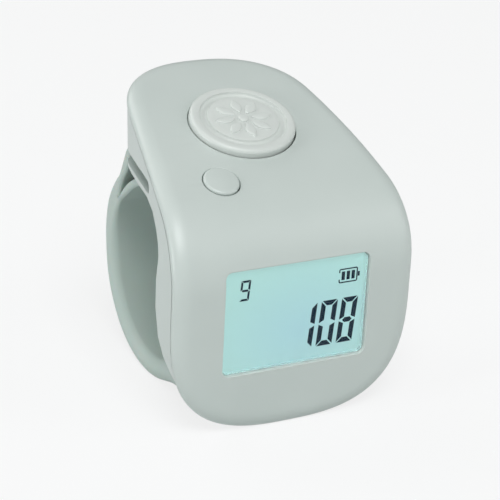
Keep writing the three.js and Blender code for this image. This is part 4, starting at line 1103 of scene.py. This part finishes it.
mark = bmesh.new()
mark_middle = on_window(*MARK_PLACE)
side_x, side_z = MARK_WIDTH / 2, MARK_HEIGHT / 2
strokes = [
    ((-side_x, side_z), (side_x, side_z)),
    ((-side_x, -side_z), (side_x, -side_z)),
    ((side_x, -side_z), (side_x, side_z)),
    ((-side_x, MARK_OPENING), (-side_x, side_z)),
    ((-side_x, -side_z), (-side_x, -MARK_OPENING)),
]
for start, end in strokes:
    segment_bar(mark, mark_middle + Vector(start), mark_middle + Vector(end), MARK_LINE)
# Three bars of charge and the mark's nub, as (place, half width, half height).
for x, half, tall in [(-0.62, 0.2, 0.5), (0.0, 0.2, 0.5), (0.62, 0.2, 0.5), (side_x + 0.22, 0.12, 0.27)]:
    bar = [mark_middle + Vector((x + sx * half, sz * tall)) for sx, sz in [(1, 1), (-1, 1), (-1, -1), (1, -1)]]
    stack_loops(mark, [front_loop(bar, SEGMENT_Y), front_loop(bar, SEGMENT_Y + SEGMENT_THICKNESS)])
make_piece("battery_mark", mark, dark_segment, "housing", sharp=30)

# %% [markdown]
# ## The buttons
#
# Both buttons are turned shapes: a cap with a rounded edge, and under it a flange that keeps it in the
# shell. A cylinder would lack that edge and the ring groove round the large one, so each is a profile
# that Blender's spin turns once about the axis. The large button's middle carries a plain rosette of
# eight raised petals. Each petal is a stack of shrinking loops, which crowns it like a stamped one.

# %% Sizes of the buttons
BUTTON_EDGE = 0.45
COUNT_HEIGHT, RESET_HEIGHT = 0.75, 0.2
FLANGE_WIDTH, FLANGE_THICKNESS, FLANGE_TOP = 0.75, 0.4, -1.35
POST_END = -1.95
GROOVE_OUT, GROOVE_IN, GROOVE_DEEP = 5.0, 4.08, 0.4


# %% A turned cap
def turned_cap(profile, steps):
    """A closed cap from (radius, height) pairs that start and end on the axis."""
    bm = bmesh.new()
    row = [bm.verts.new((radius, 0, height)) for radius, height in profile]
    edges = [bm.edges.new((a, b)) for a, b in zip(row, row[1:])]
    bmesh.ops.spin(
        bm,
        geom=row + edges,
        cent=(0, 0, 0),
        axis=(0, 0, 1),
        angle=2 * math.pi,
        steps=steps,
        use_merge=True,
        use_duplicate=False,
    )
    bmesh.ops.remove_doubles(bm, verts=bm.verts, dist=1e-4)
    return bm


def cap_profile(radius, top, edge, post, top_points):
    """The profile of a button: post, flange, side, rounded edge and top."""
    low = FLANGE_TOP - FLANGE_THICKNESS
    points = [(0, POST_END), (post, POST_END), (post, low), (radius + FLANGE_WIDTH, low)]
    points += [(radius + FLANGE_WIDTH, FLANGE_TOP), (radius, FLANGE_TOP)]
    points += [(radius - inside, top - deep) for inside, deep in reversed(rounding(edge, 7))]
    return points + top_points


# %% Count button
groove = []
for i in range(9):
    angle = math.pi * i / 8
    groove.append(
        (
            (GROOVE_OUT + GROOVE_IN) / 2 + (GROOVE_OUT - GROOVE_IN) / 2 * math.cos(angle),
            COUNT_HEIGHT - GROOVE_DEEP * math.sin(angle) ** 0.6,
        )
    )
groove[-1] = (GROOVE_IN, COUNT_HEIGHT - 0.05)
groove = [(GROOVE_OUT + 0.06, COUNT_HEIGHT), (GROOVE_OUT + 0.01, COUNT_HEIGHT - 0.02)] + groove[1:-1]
groove += [(GROOVE_IN - 0.01, COUNT_HEIGHT - 0.07), (GROOVE_IN - 0.07, COUNT_HEIGHT - 0.05)]
middle = [(radius, COUNT_HEIGHT - 0.05) for radius in (3.4, 2.0, 0.8, 0)]
count = turned_cap(cap_profile(COUNT_RADIUS, COUNT_HEIGHT, BUTTON_EDGE, 1.2, groove + middle), 128)
print("count button:", len(count.faces), "faces")

# %% Rosette
PETALS = 8
PETAL_INNER, PETAL_LENGTH, PETAL_HALF = 1.0, 2.4, 0.6
EYE_RADIUS = 0.62
ROSETTE_BASE = COUNT_HEIGHT - 0.15


def petal_loop(inside, height):
    """One loop of a petal that lies along X, drawn in by a distance."""
    places = []
    half = PETAL_HALF * (1 - inside * 2)
    start, length = PETAL_INNER + inside * 0.9, PETAL_LENGTH - inside * 1.8
    for i in range(24):
        angle = 2 * math.pi * i / 24
        share = (1 - math.cos(angle)) / 2
        bulge = math.sin(math.pi * share) ** 0.9 if 0 < share < 1 else 0
        side = -1 if i < 12 else 1
        places.append(Vector((start + length * share, side * half * bulge, height)))
    return places


PETAL_STEPS = [(0, -0.02), (0, 0.2), (0.03, 0.24), (0.08, 0.27), (0.16, 0.29), (0.28, 0.3)]
for i in range(PETALS):
    before = set(count.verts)
    stack_loops(count, [petal_loop(inside, ROSETTE_BASE + up) for inside, up in PETAL_STEPS])
    fresh = [vert for vert in count.verts if vert not in before]
    spin_to = Matrix.Rotation(i * 2 * math.pi / PETALS, 3, "Z")
    bmesh.ops.rotate(count, verts=fresh, cent=(0, 0, 0), matrix=spin_to)
eye_loops = []
turns = [2 * math.pi * i / 32 for i in range(32)]
for inside, up in [(0, -0.02), (0, 0.2), (0.05, 0.25), (0.14, 0.29), (0.3, 0.31)]:
    radius = EYE_RADIUS - inside
    eye_loops.append([Vector((radius * math.cos(a), radius * math.sin(a), ROSETTE_BASE + up)) for a in turns])
stack_loops(count, eye_loops)
bmesh.ops.recalc_face_normals(count, faces=count.faces)
bmesh.ops.scale(count, verts=count.verts, vec=(1, COUNT_SQUEEZE, 1))
bmesh.ops.transform(count, verts=count.verts, matrix=skin_frame(0, COUNT_RUN))
make_piece(
    "count_button_cap", count, button_plastic, "count_button", ["count_button"], sharp=40, flip=False
)

# %% Reset button
reset_edge = 0.3
dome = [(radius, RESET_HEIGHT + 0.12 * (1 - (radius / RESET_RADIUS) ** 2)) for radius in (1.2, 0.6, 0.0)]
reset_profile = cap_profile(RESET_RADIUS, RESET_HEIGHT + 0.03, reset_edge, 1.0, dome)
reset = turned_cap(reset_profile, 72)
bmesh.ops.recalc_face_normals(reset, faces=reset.faces)
bmesh.ops.transform(reset, verts=reset.verts, matrix=skin_frame(RESET_X, RESET_RUN))
make_piece(
    "reset_button_cap", reset, shell_plastic, "reset_button", ["reset_button"], sharp=40, flip=False
)

# %% [markdown]
# ## The charging socket
#
# The pressed steel can of the socket shows at the rear. Its copy gets the small rounding that a drawn
# edge has, and the tongue inside it too.

# %% Socket and tongue
dressed_copy("charge_socket", "charge_socket_can", 0.05)
dressed_copy("charge_tongue", "charge_tongue_bar", 0.06)
